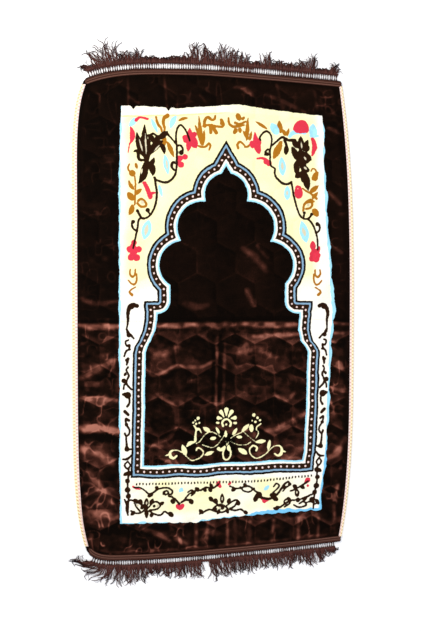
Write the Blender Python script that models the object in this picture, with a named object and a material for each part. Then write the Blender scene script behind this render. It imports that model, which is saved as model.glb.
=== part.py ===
"""Quilted velvet prayer rug with overlocked sides and a fringe braid at each end.

Metres, +Z up. The rug lies face up on z = 0 with its length along Y, and the
origin is under the middle of its outer box. Each end's fringe braid is a
heading tape, which laps over the cut end of the pad, and a comb of strands.
"""
import bpy
import bmesh
from math import cos, hypot, pi, sqrt
from mathutils import Matrix

# Outline of the bound pad: four corners, and the crest of the bow on each edge
CORNERS = {
    "left_top": (-0.3145, 0.5605),
    "right_top": (0.3115, 0.5705),
    "left_bottom": (-0.3125, -0.5685),
    "right_bottom": (0.3135, -0.5615),
}
# crest: how far out the edge bows; place: where along the edge; powers: how
# late the edge turns in towards its lower (-) end and its upper (+) end
SIDES = {
    "left": {"crest": -0.3445, "place": 0.079, "power_low": 6.5, "power_high": 8.0},
    "right": {"crest": 0.3445, "place": -0.042, "power_low": 3.4, "power_high": 3.0},
}
ENDS = {
    "bottom": {"crest": -0.5935, "place": -0.184, "power_low": 6.0, "power_high": 1.4},
    "top": {"crest": 0.5905, "place": -0.038, "power_low": 4.0, "power_high": 1.3},
}
SIDE_POINTS = 32
END_POINTS = 26

# Quilting: a honeycomb of stitched lines, with the wadding crowned between them
CELL_WIDTH = 0.0944
ROW_PITCH = 0.075
CELL_ORIGIN = (0.0507, -0.0975)
ROWS = range(-7, 11)
COLUMNS = range(-5, 5)
SEAM_HEIGHT = 0.0044
# Steps from the stitched line to the crown: step inward, and rise over it
CUSHION_STEPS = (
    {"inward": 0.007, "rise": 0.0030},
    {"inward": 0.014, "rise": 0.0014},
)
CROWN_RISE = 0.0006

# Edge of the pad, pressed flat under the bindings and the headings
EDGE_THICKNESS = 0.0040
SIDE_LEDGE = 0.0170
END_LEDGE = 0.0125
ROLL_WIDTH = 0.022
BLANK_HEIGHT = 0.013

# Fold creases kept from storage: soft troughs across the crowns
FOLD_RADIUS = 0.012
FOLD_DEPTH = 0.0016
CROWN_HEIGHT = SEAM_HEIGHT + CROWN_RISE + sum(step["rise"] for step in CUSHION_STEPS)
FOLDS = {
    "middle_fold": ((-0.360, -0.018), (-0.158, -0.016), (-0.008, -0.013),
                    (0.202, -0.010), (0.360, -0.018)),
    "lower_fold": ((-0.006, -0.014), (0.000, -0.086), (0.006, -0.158), (0.004, -0.226)),
}

GAP = 0.0003                      # clearance between pieces that touch
SKIN = 0.0012                     # thickness of the overlocked thread
BINDING_WIDTH = 0.016
BINDING_HEIGHT = 0.0056
HEADING_WIDTH = 0.011
HEADING_SKIN = 0.0013
RIB_HEIGHT = 0.0006
BAND_WIDTH = 0.0150               # openwork and chain rows, as one band
FRINGE_THICKNESS = 0.0024
FRINGE_SPAN = {"bottom": (-0.296, 0.298), "top": (-0.301, 0.301)}

# Strand clumps, left to right: middle of the root along the end, width there,
# reach past the chain row, and how far the tip leans sideways
CLUMPS = {
    "top": (
        {"at": -0.292, "width": 0.018, "reach": 0.022, "lean": -0.014},
        {"at": -0.270, "width": 0.018, "reach": 0.038, "lean": -0.016},
        {"at": -0.250, "width": 0.018, "reach": 0.054, "lean": -0.002},
        {"at": -0.229, "width": 0.018, "reach": 0.046, "lean": 0.004},
        {"at": -0.203, "width": 0.026, "reach": 0.040, "lean": 0.002},
        {"at": -0.173, "width": 0.026, "reach": 0.030, "lean": 0.000},
        {"at": -0.140, "width": 0.032, "reach": 0.021, "lean": 0.000},
        {"at": -0.104, "width": 0.030, "reach": 0.023, "lean": 0.002},
        {"at": -0.074, "width": 0.022, "reach": 0.032, "lean": 0.000},
        {"at": -0.049, "width": 0.020, "reach": 0.053, "lean": -0.002},
        {"at": -0.027, "width": 0.018, "reach": 0.048, "lean": 0.004},
        {"at": -0.005, "width": 0.018, "reach": 0.034, "lean": 0.000},
        {"at": 0.016, "width": 0.018, "reach": 0.050, "lean": -0.002},
        {"at": 0.040, "width": 0.022, "reach": 0.042, "lean": 0.004},
        {"at": 0.066, "width": 0.020, "reach": 0.034, "lean": 0.003},
        {"at": 0.095, "width": 0.030, "reach": 0.019, "lean": 0.000},
        {"at": 0.124, "width": 0.020, "reach": 0.040, "lean": 0.002},
        {"at": 0.152, "width": 0.026, "reach": 0.023, "lean": 0.000},
        {"at": 0.184, "width": 0.030, "reach": 0.021, "lean": 0.000},
        {"at": 0.212, "width": 0.020, "reach": 0.031, "lean": 0.002},
        {"at": 0.234, "width": 0.018, "reach": 0.042, "lean": 0.006},
        {"at": 0.262, "width": 0.028, "reach": 0.014, "lean": 0.000},
        {"at": 0.287, "width": 0.018, "reach": 0.025, "lean": 0.018},
    ),
    "bottom": (
        {"at": -0.288, "width": 0.015, "reach": 0.018, "lean": -0.036},
        {"at": -0.270, "width": 0.014, "reach": 0.036, "lean": -0.030},
        {"at": -0.252, "width": 0.015, "reach": 0.046, "lean": -0.018},
        {"at": -0.232, "width": 0.018, "reach": 0.050, "lean": -0.010},
        {"at": -0.208, "width": 0.024, "reach": 0.050, "lean": 0.000},
        {"at": -0.180, "width": 0.024, "reach": 0.044, "lean": 0.000},
        {"at": -0.150, "width": 0.028, "reach": 0.030, "lean": 0.000},
        {"at": -0.118, "width": 0.028, "reach": 0.036, "lean": 0.000},
        {"at": -0.086, "width": 0.028, "reach": 0.038, "lean": 0.000},
        {"at": -0.054, "width": 0.028, "reach": 0.042, "lean": 0.004},
        {"at": 0.004, "width": 0.018, "reach": 0.052, "lean": 0.010},
        {"at": 0.027, "width": 0.022, "reach": 0.047, "lean": 0.010},
        {"at": 0.055, "width": 0.026, "reach": 0.038, "lean": 0.004},
        {"at": 0.085, "width": 0.026, "reach": 0.042, "lean": 0.000},
        {"at": 0.116, "width": 0.028, "reach": 0.036, "lean": 0.000},
        {"at": 0.148, "width": 0.028, "reach": 0.038, "lean": 0.002},
        {"at": 0.180, "width": 0.028, "reach": 0.040, "lean": 0.000},
        {"at": 0.209, "width": 0.022, "reach": 0.036, "lean": 0.002},
        {"at": 0.234, "width": 0.020, "reach": 0.043, "lean": 0.000},
        {"at": 0.260, "width": 0.022, "reach": 0.034, "lean": 0.002},
        {"at": 0.284, "width": 0.018, "reach": 0.016, "lean": 0.014},
    ),
}

# Sections of the swept pieces: (outward from the edge, height)
BINDING_SECTION = (
    (-BINDING_WIDTH, 0.0),
    (-0.0022, 0.0),
    (-0.0006, 0.0006),
    (0.0, 0.0020),
    (0.0, BINDING_HEIGHT - 0.0020),
    (-0.0006, BINDING_HEIGHT - 0.0006),
    (-0.0022, BINDING_HEIGHT),
    (-BINDING_WIDTH + 0.0006, BINDING_HEIGHT),
    (-BINDING_WIDTH, BINDING_HEIGHT - 0.0006),
    (-BINDING_WIDTH, EDGE_THICKNESS + GAP),
    (-SKIN, EDGE_THICKNESS + GAP),
    (-SKIN, SKIN),
    (-BINDING_WIDTH, SKIN),
)
HEADING_TOP = EDGE_THICKNESS + GAP + HEADING_SKIN
HEADING_SECTION = (
    (-HEADING_WIDTH, EDGE_THICKNESS + GAP),
    (GAP, EDGE_THICKNESS + GAP),
    (GAP, 0.0),
    (GAP + HEADING_SKIN, 0.0),
    (GAP + HEADING_SKIN, HEADING_TOP - 0.0008),
    (0.0006, HEADING_TOP),
    (-0.0014, HEADING_TOP + RIB_HEIGHT),
    (-0.0036, HEADING_TOP + RIB_HEIGHT),
    (-0.0046, HEADING_TOP),
    (-0.0064, HEADING_TOP),
    (-0.0074, HEADING_TOP + RIB_HEIGHT),
    (-0.0096, HEADING_TOP + RIB_HEIGHT),
    (-HEADING_WIDTH, HEADING_TOP - 0.0004),
)
PAD_INSET = SKIN + GAP            # from the bound outline to the pad's own cut side
BINDING_STOP = HEADING_WIDTH + GAP

FINISHES = {
    "velvet": {"color": (0.030, 0.014, 0.010, 1.0), "roughness": 0.85},
    "overlock_thread": {"color": (0.820, 0.680, 0.440, 1.0), "roughness": 0.70},
    "braid_tape": {"color": (0.110, 0.040, 0.032, 1.0), "roughness": 0.75},
    "fringe_yarn": {"color": (0.060, 0.024, 0.026, 1.0), "roughness": 0.80},
}


def clear_scene():
    for item in list(bpy.data.objects):
        bpy.data.objects.remove(item, do_unlink=True)


def new_collection(name):
    group = bpy.data.collections.new(name)
    bpy.context.scene.collection.children.link(group)
    return group


def finish_material(name):
    material = bpy.data.materials.new(name)
    material.use_nodes = True
    shader = material.node_tree.nodes["Principled BSDF"]
    shader.inputs["Base Color"].default_value = FINISHES[name]["color"]
    shader.inputs["Roughness"].default_value = FINISHES[name]["roughness"]
    shader.inputs["Metallic"].default_value = 0.0
    return material


def add_object(name, data, group, material=None):
    item = bpy.data.objects.new(name, data)
    if material:
        data.materials.append(material)
    group.objects.link(item)
    return item


def hide_cutter(item):
    item.hide_render = True
    item.display_type = "WIRE"


def bow(along, edge, low_end, high_end):
    """Height of a bowed edge above its axis: crest at its place, corners at its ends."""
    at_low = along < edge["place"]
    end_along, end_value = low_end if at_low else high_end
    power = edge["power_low"] if at_low else edge["power_high"]
    share = (along - edge["place"]) / (end_along - edge["place"])
    return edge["crest"] + (end_value - edge["crest"]) * share ** power


def side_x(side, y):
    low_x, low_y = CORNERS[side + "_bottom"]
    high_x, high_y = CORNERS[side + "_top"]
    return bow(y, SIDES[side], (low_y, low_x), (high_y, high_x))


def end_y(end, x):
    low_end, high_end = CORNERS["left_" + end], CORNERS["right_" + end]
    return bow(x, ENDS[end], low_end, high_end)


def spaced(low, high, count):
    return [low + (high - low) * step / (count - 1) for step in range(count)]


def on_chords(points, y):
    """The point at height y on straight runs between points, carried on past both ends."""
    for (x0, y0), (x1, y1) in zip(points, points[1:]):
        if y <= y1 or (x1, y1) == points[-1]:
            return (x0 + (x1 - x0) * (y - y0) / (y1 - y0), y)


def side_path(side, inset=0.0, stop=0.0):
    """Points up one side, moved in by inset, stopping short of both corners.

    Every inset and stop shares one set of chords, so the pieces' gaps stay even.
    """
    corner_low, corner_high = CORNERS[side + "_bottom"][1], CORNERS[side + "_top"][1]
    middle, half = (corner_low + corner_high) / 2, (corner_high - corner_low) / 2
    places = [middle - half * cos(pi * share) for share in spaced(0.0, 1.0, SIDE_POINTS)]
    chords = [(side_x(side, y), y) for y in places]
    low, high = corner_low + stop, corner_high - stop
    kept = [point for point in chords if low + 0.001 < point[1] < high - 0.001]
    inward = inset if side == "left" else -inset
    route = [on_chords(chords, low)] + kept + [on_chords(chords, high)]
    return [(x + inward, y) for x, y in route]


def end_places(end, inset=0.0):
    """Places across one end, left to right, closer together near its corners."""
    low = CORNERS["left_" + end][0] + inset
    high = CORNERS["right_" + end][0] - inset
    middle, half = (low + high) / 2, (high - low) / 2
    return [middle - half * cos(pi * share) for share in spaced(0.0, 1.0, END_POINTS)]


def end_path(end, inset=0.0):
    return [(x, end_y(end, x)) for x in end_places(end, inset)]


def off_end(end, x, outward):
    """A point a distance outward, square to one end of the rug, from its place x."""
    step = 0.0005
    slope = (end_y(end, x + step) - end_y(end, x - step)) / (2 * step)
    away = 1.0 if end == "top" else -1.0
    length = hypot(slope, 1.0)
    return (x - away * slope * outward / length, end_y(end, x) + away * outward / length)


def pad_outline():
    """The pad's own cut outline, anticlockwise from its lower left corner."""
    bottom = end_path("bottom", inset=PAD_INSET)
    right = side_path("right", inset=PAD_INSET)
    top = end_path("top", inset=PAD_INSET)
    left = side_path("left", inset=PAD_INSET)
    return bottom[:-1] + right[:-1] + top[::-1][:-1] + left[::-1][:-1]


def curve_to_mesh(name, curve_data, group):
    """A curve object turned into a mesh object whose caps are welded on."""
    curve = bpy.data.objects.new(name + "_curve", curve_data)
    group.objects.link(curve)
    bpy.context.view_layer.update()
    evaluated = curve.evaluated_get(bpy.context.evaluated_depsgraph_get())
    mesh = bpy.data.meshes.new_from_object(evaluated)
    mesh.name = name
    bpy.data.objects.remove(curve, do_unlink=True)
    shape = bmesh.new()
    shape.from_mesh(mesh)
    bmesh.ops.remove_doubles(shape, verts=shape.verts, dist=0.00001)
    bmesh.ops.recalc_face_normals(shape, faces=shape.faces)
    shape.to_mesh(mesh)
    shape.free()
    return mesh


def poly_spline(curve_data, points, closed):
    spline = curve_data.splines.new("POLY")
    spline.points.add(len(points) - 1)
    for point, place in zip(spline.points, points):
        point.co = (place[0], place[1], place[2] if len(place) > 2 else 0.0, 1.0)
    spline.use_cyclic_u = closed


def flat_plate(name, outline, bottom, top, group):
    """A flat outline filled on both faces, from height bottom to height top."""
    curve_data = bpy.data.curves.new(name, "CURVE")
    curve_data.dimensions = "2D"
    curve_data.fill_mode = "BOTH"
    curve_data.extrude = (top - bottom) / 2
    poly_spline(curve_data, outline, closed=True)
    mesh = curve_to_mesh(name, curve_data, group)
    mesh.transform(Matrix.Translation((0, 0, (top + bottom) / 2)))
    return mesh


def swept_strip(name, path, section, group):
    """A closed section carried along a flat path; its u axis points to the right."""
    profile_data = bpy.data.curves.new(name + "_section", "CURVE")
    profile_data.dimensions = "2D"
    profile_data.fill_mode = "NONE"
    poly_spline(profile_data, section, closed=True)
    profile = bpy.data.objects.new(name + "_section", profile_data)
    group.objects.link(profile)
    curve_data = bpy.data.curves.new(name, "CURVE")
    curve_data.dimensions = "2D"
    curve_data.fill_mode = "NONE"
    curve_data.bevel_mode = "OBJECT"
    curve_data.bevel_object = profile
    curve_data.use_fill_caps = True
    poly_spline(curve_data, path, closed=False)
    mesh = curve_to_mesh(name, curve_data, group)
    bpy.data.objects.remove(profile, do_unlink=True)
    return mesh


def quilted_slab():
    """Honeycomb of crowned cushions, each raised by insets, closed into a slab."""
    shape = bmesh.new()
    stretch = Matrix.Diagonal((CELL_WIDTH / sqrt(3), ROW_PITCH / 1.5, 1.0, 1.0))
    for row in ROWS:
        for column in COLUMNS:
            x = CELL_ORIGIN[0] + CELL_WIDTH * (column + 0.5 * (row % 2))
            y = CELL_ORIGIN[1] + ROW_PITCH * row
            place = Matrix.Translation((x, y, SEAM_HEIGHT)) @ stretch
            bmesh.ops.create_circle(shape, cap_ends=True, radius=1.0, segments=6, matrix=place)
    bmesh.ops.remove_doubles(shape, verts=shape.verts, dist=0.0001)
    bmesh.ops.recalc_face_normals(shape, faces=shape.faces)
    if shape.faces[:][0].normal.z < 0:
        bmesh.ops.reverse_faces(shape, faces=shape.faces)
    crowns = list(shape.faces)
    for step in CUSHION_STEPS:
        bmesh.ops.inset_individual(shape, faces=crowns, thickness=step["inward"],
                                   depth=step["rise"], use_even_offset=True)
    bmesh.ops.poke(shape, faces=crowns, offset=CROWN_RISE, center_mode="MEAN")
    rim = [edge for edge in shape.edges if edge.is_boundary]
    skirt = bmesh.ops.extrude_edge_only(shape, edges=rim)["geom"]
    lowered = [item for item in skirt if isinstance(item, bmesh.types.BMVert)]
    for vert in lowered:
        vert.co.z = -0.010
    bmesh.ops.holes_fill(shape, edges=[edge for edge in shape.edges if edge.is_boundary])
    bmesh.ops.recalc_face_normals(shape, faces=shape.faces)
    mesh = bpy.data.meshes.new("rug_pad")
    shape.to_mesh(mesh)
    shape.free()
    return mesh


def raise_top(shape, face, height, inset_x=0.0, inset_y=0.0, keep_face=False):
    """Draw a face up to a height on its own walls, drawn in towards the middle."""
    raised = bmesh.ops.extrude_face_region(shape, geom=[face])["geom"]
    top = next(item for item in raised if isinstance(item, bmesh.types.BMFace))
    half_width = max(abs(vert.co.x) for vert in top.verts)
    half_length = max(abs(vert.co.y) for vert in top.verts)
    shrink = (1 - inset_x / half_width, 1 - inset_y / half_length, 1.0)
    bmesh.ops.scale(shape, vec=shrink, verts=top.verts)
    for vert in top.verts:
        vert.co.z = height
    if not keep_face:
        bmesh.ops.delete(shape, geom=[face], context="FACES_ONLY")
    return top


def pad_blank():
    """Outline solid: a thin flat rim, then a roll that rises clear of the crowns."""
    shape = bmesh.new()
    face = shape.faces.new([shape.verts.new((x, y, 0.0)) for x, y in pad_outline()])
    rim = raise_top(shape, face, EDGE_THICKNESS, keep_face=True)
    ledge = raise_top(shape, rim, EDGE_THICKNESS, SIDE_LEDGE, END_LEDGE)
    raise_top(shape, ledge, BLANK_HEIGHT, ROLL_WIDTH, ROLL_WIDTH)
    bmesh.ops.recalc_face_normals(shape, faces=shape.faces)
    mesh = bpy.data.meshes.new("pad_blank")
    shape.to_mesh(mesh)
    shape.free()
    return mesh


def side_notch(side, group):
    """Room under the pad's side for the lower turn of the binding."""
    deep = BINDING_WIDTH + 0.0030     # the binding lies square to a side that slants near its corners
    inner = side_path(side, inset=deep, stop=-0.040)
    outer = side_path(side, inset=-0.020, stop=-0.040)
    return flat_plate(side + "_notch", inner + outer[::-1], -0.005, SKIN + GAP, group)


def fold_trough(name, route, group):
    """A round bar lying over the crowns, which presses a soft trough into them."""
    curve_data = bpy.data.curves.new(name, "CURVE")
    curve_data.dimensions = "3D"
    curve_data.bevel_depth = FOLD_RADIUS
    curve_data.bevel_resolution = 2
    curve_data.use_fill_caps = True
    height = CROWN_HEIGHT + FOLD_RADIUS - FOLD_DEPTH
    poly_spline(curve_data, [(x, y, height) for x, y in route], closed=False)
    return curve_to_mesh(name, curve_data, group)


def cut(target, cutter, operation):
    modifier = target.modifiers.new(cutter.name, "BOOLEAN")
    modifier.operation = operation
    modifier.solver = "EXACT"
    modifier.object = cutter


def build_pad(parts, cutters):
    pad = add_object("rug_pad", quilted_slab(), parts, finish_material("velvet"))
    blank = add_object("pad_blank", pad_blank(), cutters)
    hide_cutter(blank)
    cut(pad, blank, "INTERSECT")
    for side in SIDES:
        notch = add_object(side + "_notch", side_notch(side, cutters), cutters)
        hide_cutter(notch)
        cut(pad, notch, "DIFFERENCE")
    for name, route in FOLDS.items():
        trough = add_object(name, fold_trough(name, route, cutters), cutters)
        hide_cutter(trough)
        cut(pad, trough, "DIFFERENCE")


def build_bindings(parts):
    material = finish_material("overlock_thread")
    for side in SIDES:
        path = side_path(side, stop=BINDING_STOP)
        if side == "left":
            path = path[::-1]
        name = "side_binding_" + side
        add_object(name, swept_strip(name, path, BINDING_SECTION, parts), parts, material)


def build_headings(parts):
    material = finish_material("braid_tape")
    for end in ENDS:
        path = end_path(end)
        if end == "top":
            path = path[::-1]
        name = "heading_" + end
        add_object(name, swept_strip(name, path, HEADING_SECTION, parts), parts, material)


def clump_points(end, clump):
    """One clump's outline from its left root over the tip to its right root."""
    half = clump["width"] / 2
    stations = ((-1.0, 0.0), (-0.80, 0.55), (-0.45, 1.0), (0.45, 1.0), (0.80, 0.55), (1.0, 0.0))
    points = []
    for across, share in stations:
        x = clump["at"] + across * half
        offset = off_end(end, x, GAP * 2 + HEADING_SKIN + BAND_WIDTH + share * clump["reach"])
        points.append((offset[0] + clump["lean"] * share ** 1.5, offset[1]))
    return points


def build_fringes(parts):
    material = finish_material("fringe_yarn")
    for end, clumps in CLUMPS.items():
        low, high = FRINGE_SPAN[end]
        root = GAP * 2 + HEADING_SKIN
        places = [low] + [x for x in end_places(end) if low < x < high] + [high]
        inner = [off_end(end, x, root) for x in places]
        comb = [off_end(end, low, root + BAND_WIDTH)]
        for clump in clumps:
            comb += clump_points(end, clump)
        comb.append(off_end(end, high, root + BAND_WIDTH))
        name = "fringe_" + end
        mesh = flat_plate(name, comb + inner[::-1], 0.0, FRINGE_THICKNESS, parts)
        add_object(name, mesh, parts, material)


def main():
    clear_scene()
    parts = new_collection("prayer_rug")
    cutters = new_collection("cutters")
    build_pad(parts, cutters)
    build_bindings(parts)
    build_headings(parts)
    build_fringes(parts)


main()
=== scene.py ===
import math
import bpy
import numpy as np
from mathutils import Matrix, Vector


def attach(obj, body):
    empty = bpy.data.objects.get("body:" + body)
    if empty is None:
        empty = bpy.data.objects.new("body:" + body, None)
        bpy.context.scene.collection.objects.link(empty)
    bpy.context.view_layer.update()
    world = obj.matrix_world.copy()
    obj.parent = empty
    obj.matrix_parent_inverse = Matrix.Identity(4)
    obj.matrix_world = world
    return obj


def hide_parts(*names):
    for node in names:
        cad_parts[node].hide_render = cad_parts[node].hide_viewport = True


# Quilted prayer rug: printed velvet face, overlocked sides, a fringe braid at each end.
# Lengths are metres in the rug's own frame, and the print's and the creases' points are millimetres.
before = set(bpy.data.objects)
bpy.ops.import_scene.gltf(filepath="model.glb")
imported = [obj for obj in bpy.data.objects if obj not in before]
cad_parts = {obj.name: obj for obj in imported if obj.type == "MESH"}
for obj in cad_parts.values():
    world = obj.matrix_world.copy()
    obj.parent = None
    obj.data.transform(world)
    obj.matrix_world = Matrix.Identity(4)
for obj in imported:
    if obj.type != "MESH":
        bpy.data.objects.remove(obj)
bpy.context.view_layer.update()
print("stage: frame loaded")

viewPoint = {"from": (-0.211, 0.0485, 2.05), "towards": (-0.011, -0.0015, 0.0), "lens": 48.3}

light = {
    "sky": "f4f6ff",
    "skyStrength": 0.80,
    "key": {"from": (-1.15, 1.05, 1.55), "size": 1.1, "watts": 34.0, "colour": "fffaf2"},
    "fill": {"from": (1.2, -0.9, 2.4), "size": 2.2, "watts": 16.0, "colour": "f6f8ff"},
}

# Outline of the bound rug: four corners, and how each edge bows between them
corners = {
    "leftTop": (-0.3145, 0.5605),
    "rightTop": (0.3115, 0.5705),
    "leftBottom": (-0.3125, -0.5685),
    "rightBottom": (0.3135, -0.5615),
}
sides = {
    "left": {"crest": -0.3445, "place": 0.079, "powerLow": 6.5, "powerHigh": 8.0},
    "right": {"crest": 0.3445, "place": -0.042, "powerLow": 3.4, "powerHigh": 3.0},
}
ends = {
    "Bottom": {"crest": -0.5935, "place": -0.184, "powerLow": 6.0, "powerHigh": 1.4},
    "Top": {"crest": 0.5905, "place": -0.038, "powerLow": 4.0, "powerHigh": 1.3},
}


def hexColour(code):
    # each sRGB share c becomes c / 12.92 below 0.04045, and ((c + 0.055) / 1.055) ^ 2.4 above it
    shares = [int(code[k:k + 2], 16) / 255 for k in (0, 2, 4)]
    return tuple(c / 12.92 if c < 0.04045 else ((c + 0.055) / 1.055) ** 2.4 for c in shares) + (1.0,)


def softStep(low, high, value):
    # 0 below low, 1 above high, and t * t * (3 - 2 * t) between them
    share = np.clip((value - low) / (high - low), 0.0, 1.0)
    return share * share * (3.0 - 2.0 * share)


def hill(distance, width):
    # bell curve: e to the minus (distance / width) squared
    return np.exp(-(distance / width) ** 2)


def softNoise(x, y, size, seed):
    # seeded heights on a square lattice of that size, blended between four corners by a smooth cubic
    lattice = np.random.default_rng(seed).uniform(-1.0, 1.0, (256, 256))
    u, v = x / size + 101.3, y / size + 73.7
    i, j = np.floor(u).astype(int), np.floor(v).astype(int)
    s, t = softStep(0.0, 1.0, u - i), softStep(0.0, 1.0, v - j)
    low = lattice[i % 256, j % 256] * (1 - s) + lattice[(i + 1) % 256, j % 256] * s
    high = lattice[i % 256, (j + 1) % 256] * (1 - s) + lattice[(i + 1) % 256, (j + 1) % 256] * s
    return low * (1 - t) + high * t


def bow(along, edge, lowEnd, highEnd):
    # from the crest to the corner, growing as a power of the share of the way there
    atLow = along < edge["place"]
    endAlong = np.where(atLow, lowEnd[0], highEnd[0])
    endValue = np.where(atLow, lowEnd[1], highEnd[1])
    power = np.where(atLow, edge["powerLow"], edge["powerHigh"])
    share = np.clip((along - edge["place"]) / (endAlong - edge["place"]), 0.0, 1.2)
    return edge["crest"] + (endValue - edge["crest"]) * share ** power


def sideX(side, y):
    # the side's x at each y: the bow between the side's two corners
    low, high = corners[side + "Bottom"], corners[side + "Top"]
    return bow(y, sides[side], (low[1], low[0]), (high[1], high[0]))


def endY(end, x):
    # the end's y at each x: the bow between the end's two corners
    return bow(x, ends[end], corners["left" + end], corners["right" + end])


def offEnd(end, x, outward):
    # a point square to the end's bowed line: its foot plus outward times the line's unit normal
    step = 0.0005
    slope = (endY(end, x + step) - endY(end, x - step)) / (2 * step)
    away = 1.0 if end == "Top" else -1.0
    size = np.hypot(slope, 1.0)
    return x - away * slope * outward / size, endY(end, x) + away * outward / size


def smoothPath(points, steps):
    # Catmull-Rom curve: a cubic through every point, whose slope there joins its two neighbours
    p = np.array(points, float)
    before = np.vstack([2 * p[0] - p[1], p[:-2], p[-2]])[: len(p) - 1]
    after = np.vstack([p[2:], 2 * p[-1] - p[-2]])
    t = (np.arange(steps) / steps)[None, :, None]
    a, b, c, d = (q[:, None, :] for q in (before, p[:-1], p[1:], after))
    run = 0.5 * (2 * b + (c - a) * t + (2 * a - 5 * b + 4 * c - d) * t ** 2
                 + (3 * b - 3 * c + d - a) * t ** 3)
    return np.vstack([run.reshape(-1, p.shape[1]), p[-1]])


def gridFaces(rows, columns, closed=False):
    # four corners of each cell of a grid, wrapped round its columns when it is a tube
    r, c = np.meshgrid(np.arange(rows - 1), np.arange(columns if closed else columns - 1), indexing="ij")
    nextC = (c + 1) % columns
    quads = np.stack([r * columns + c, r * columns + nextC,
                      (r + 1) * columns + nextC, (r + 1) * columns + c], -1)
    return quads.reshape(-1, 4)


def addPiece(name, points, quads, materials, extraFaces=(), flatFaces=0, attributes=None):
    # quads come first, then extraFaces, and the last flatFaces faces keep a flat shade
    mesh = bpy.data.meshes.new(name)
    mesh.from_pydata(points.tolist(), [], quads.tolist() + [list(f) for f in extraFaces])
    smooth = np.ones(len(mesh.polygons), bool)
    smooth[len(smooth) - flatFaces:] = flatFaces == 0
    mesh.polygons.foreach_set("use_smooth", smooth)
    for title, values in (attributes or {}).items():
        layer = mesh.attributes.new(title, "FLOAT", "POINT")
        layer.data.foreach_set("value", np.asarray(values, np.float32).ravel())
    for material in materials:
        mesh.materials.append(material)
    mesh.update()
    piece = bpy.data.objects.new(name, mesh)
    bpy.context.scene.collection.objects.link(piece)
    return piece


def addNode(tree, kind, settings=None, inputs=None, links=None):
    # a node of that kind, its properties, its unlinked inputs, and the sockets that feed it
    node = tree.nodes.new(kind)
    for key, value in (settings or {}).items():
        setattr(node, key, value)
    for key, value in (inputs or {}).items():
        node.inputs[key].default_value = value
    for key, socket in (links or {}).items():
        tree.links.new(socket, node.inputs[key])
    return node


def newMaterial(name, shaderInputs):
    # an empty Principled material, with the values that are the same all over it on the shader
    material = bpy.data.materials.new(name)
    material.use_nodes = True
    shader = material.node_tree.nodes["Principled BSDF"]
    for key, value in shaderInputs.items():
        shader.inputs[key].default_value = value
    return material, material.node_tree, shader


# Camera, floor and light
camera = bpy.data.objects.new("camera", bpy.data.cameras.new("camera"))
bpy.context.scene.collection.objects.link(camera)
bpy.context.scene.camera = camera
camera.data.lens = viewPoint["lens"]
camera.data.sensor_width = 36.0
back = (Vector(viewPoint["from"]) - Vector(viewPoint["towards"])).normalized()
across = Vector((0, 1, 0)).cross(back).normalized()
upward = back.cross(across)
turned = Matrix((across, upward, back)).transposed().to_4x4()
camera.matrix_world = Matrix.Translation(viewPoint["from"]) @ turned
bpy.context.scene.view_settings.view_transform = "Standard"

world = bpy.data.worlds.new("studio")
bpy.context.scene.world = world
world.use_nodes = True
world.node_tree.nodes["Background"].inputs["Color"].default_value = hexColour(light["sky"])
world.node_tree.nodes["Background"].inputs["Strength"].default_value = light["skyStrength"]
for name in ("key", "fill"):
    lamp = bpy.data.objects.new(name + "Light", bpy.data.lights.new(name + "Light", "AREA"))
    bpy.context.scene.collection.objects.link(lamp)
    lamp.location = light[name]["from"]
    lamp.rotation_euler = (-Vector(light[name]["from"])).to_track_quat("-Z", "Y").to_euler()
    lamp.data.size = light[name]["size"]
    lamp.data.energy = light[name]["watts"]
    lamp.data.color = hexColour(light[name]["colour"])[:3]

# matt painted studio floor: even, near white, no gloss
floorPaint, floorTree, floorShader = newMaterial("matt_floor_paint", {"Roughness": 0.95,
                                                                     "Specular IOR Level": 0.1})
floorGrain = addNode(floorTree, "ShaderNodeTexNoise", inputs={"Scale": 3.0, "Detail": 2.0})
floorTint = addNode(floorTree, "ShaderNodeMix", {"data_type": "RGBA"},
                    {"A": hexColour("fbfbfa"), "B": hexColour("ffffff")},
                    {"Factor": floorGrain.outputs["Fac"]})
floorTree.links.new(floorTint.outputs["Result"], floorShader.inputs["Base Color"])
reach = np.linspace(-6.0, 6.0, 5)
floorX, floorY = np.meshgrid(reach, reach)
floorPoints = np.stack([floorX.ravel(), floorY.ravel(), np.full(25, -0.0004)], -1)
floor = addPiece("floor", floorPoints, gridFaces(5, 5), [floorPaint])
print("stage: camera, floor and light")

# The print: the points of its panel, arch and marks, in millimetres
panel = {
    "left": ((-505, -232), (-374, -234), (5, -234), (371, -233), (505, -227)),
    "right": ((-490, 262), (-354, 277), (-211, 285), (-75, 289), (7, 299), (174, 284), (306, 275),
              (379, 271), (490, 266)),
    "top": ((-233, 499), (-181, 500), (-85, 497), (-13, 503), (63, 509), (109, 502), (158, 496),
            (208, 491), (275, 484)),
    "bottom": ((-235, -505), (-142, -505), (-47, -505), (1, -497), (97, -490), (194, -485), (275, -481)),
    "pleatLine": ((-230, 475), (-92, 480), (63, 491), (158, 486), (275, 480)),
    "axis": ((-388, 21), (-90, 26.5), (430, 26.5)),
    "scallop": 2.6,
    "scallopPitch": 27.0,
}

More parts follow.
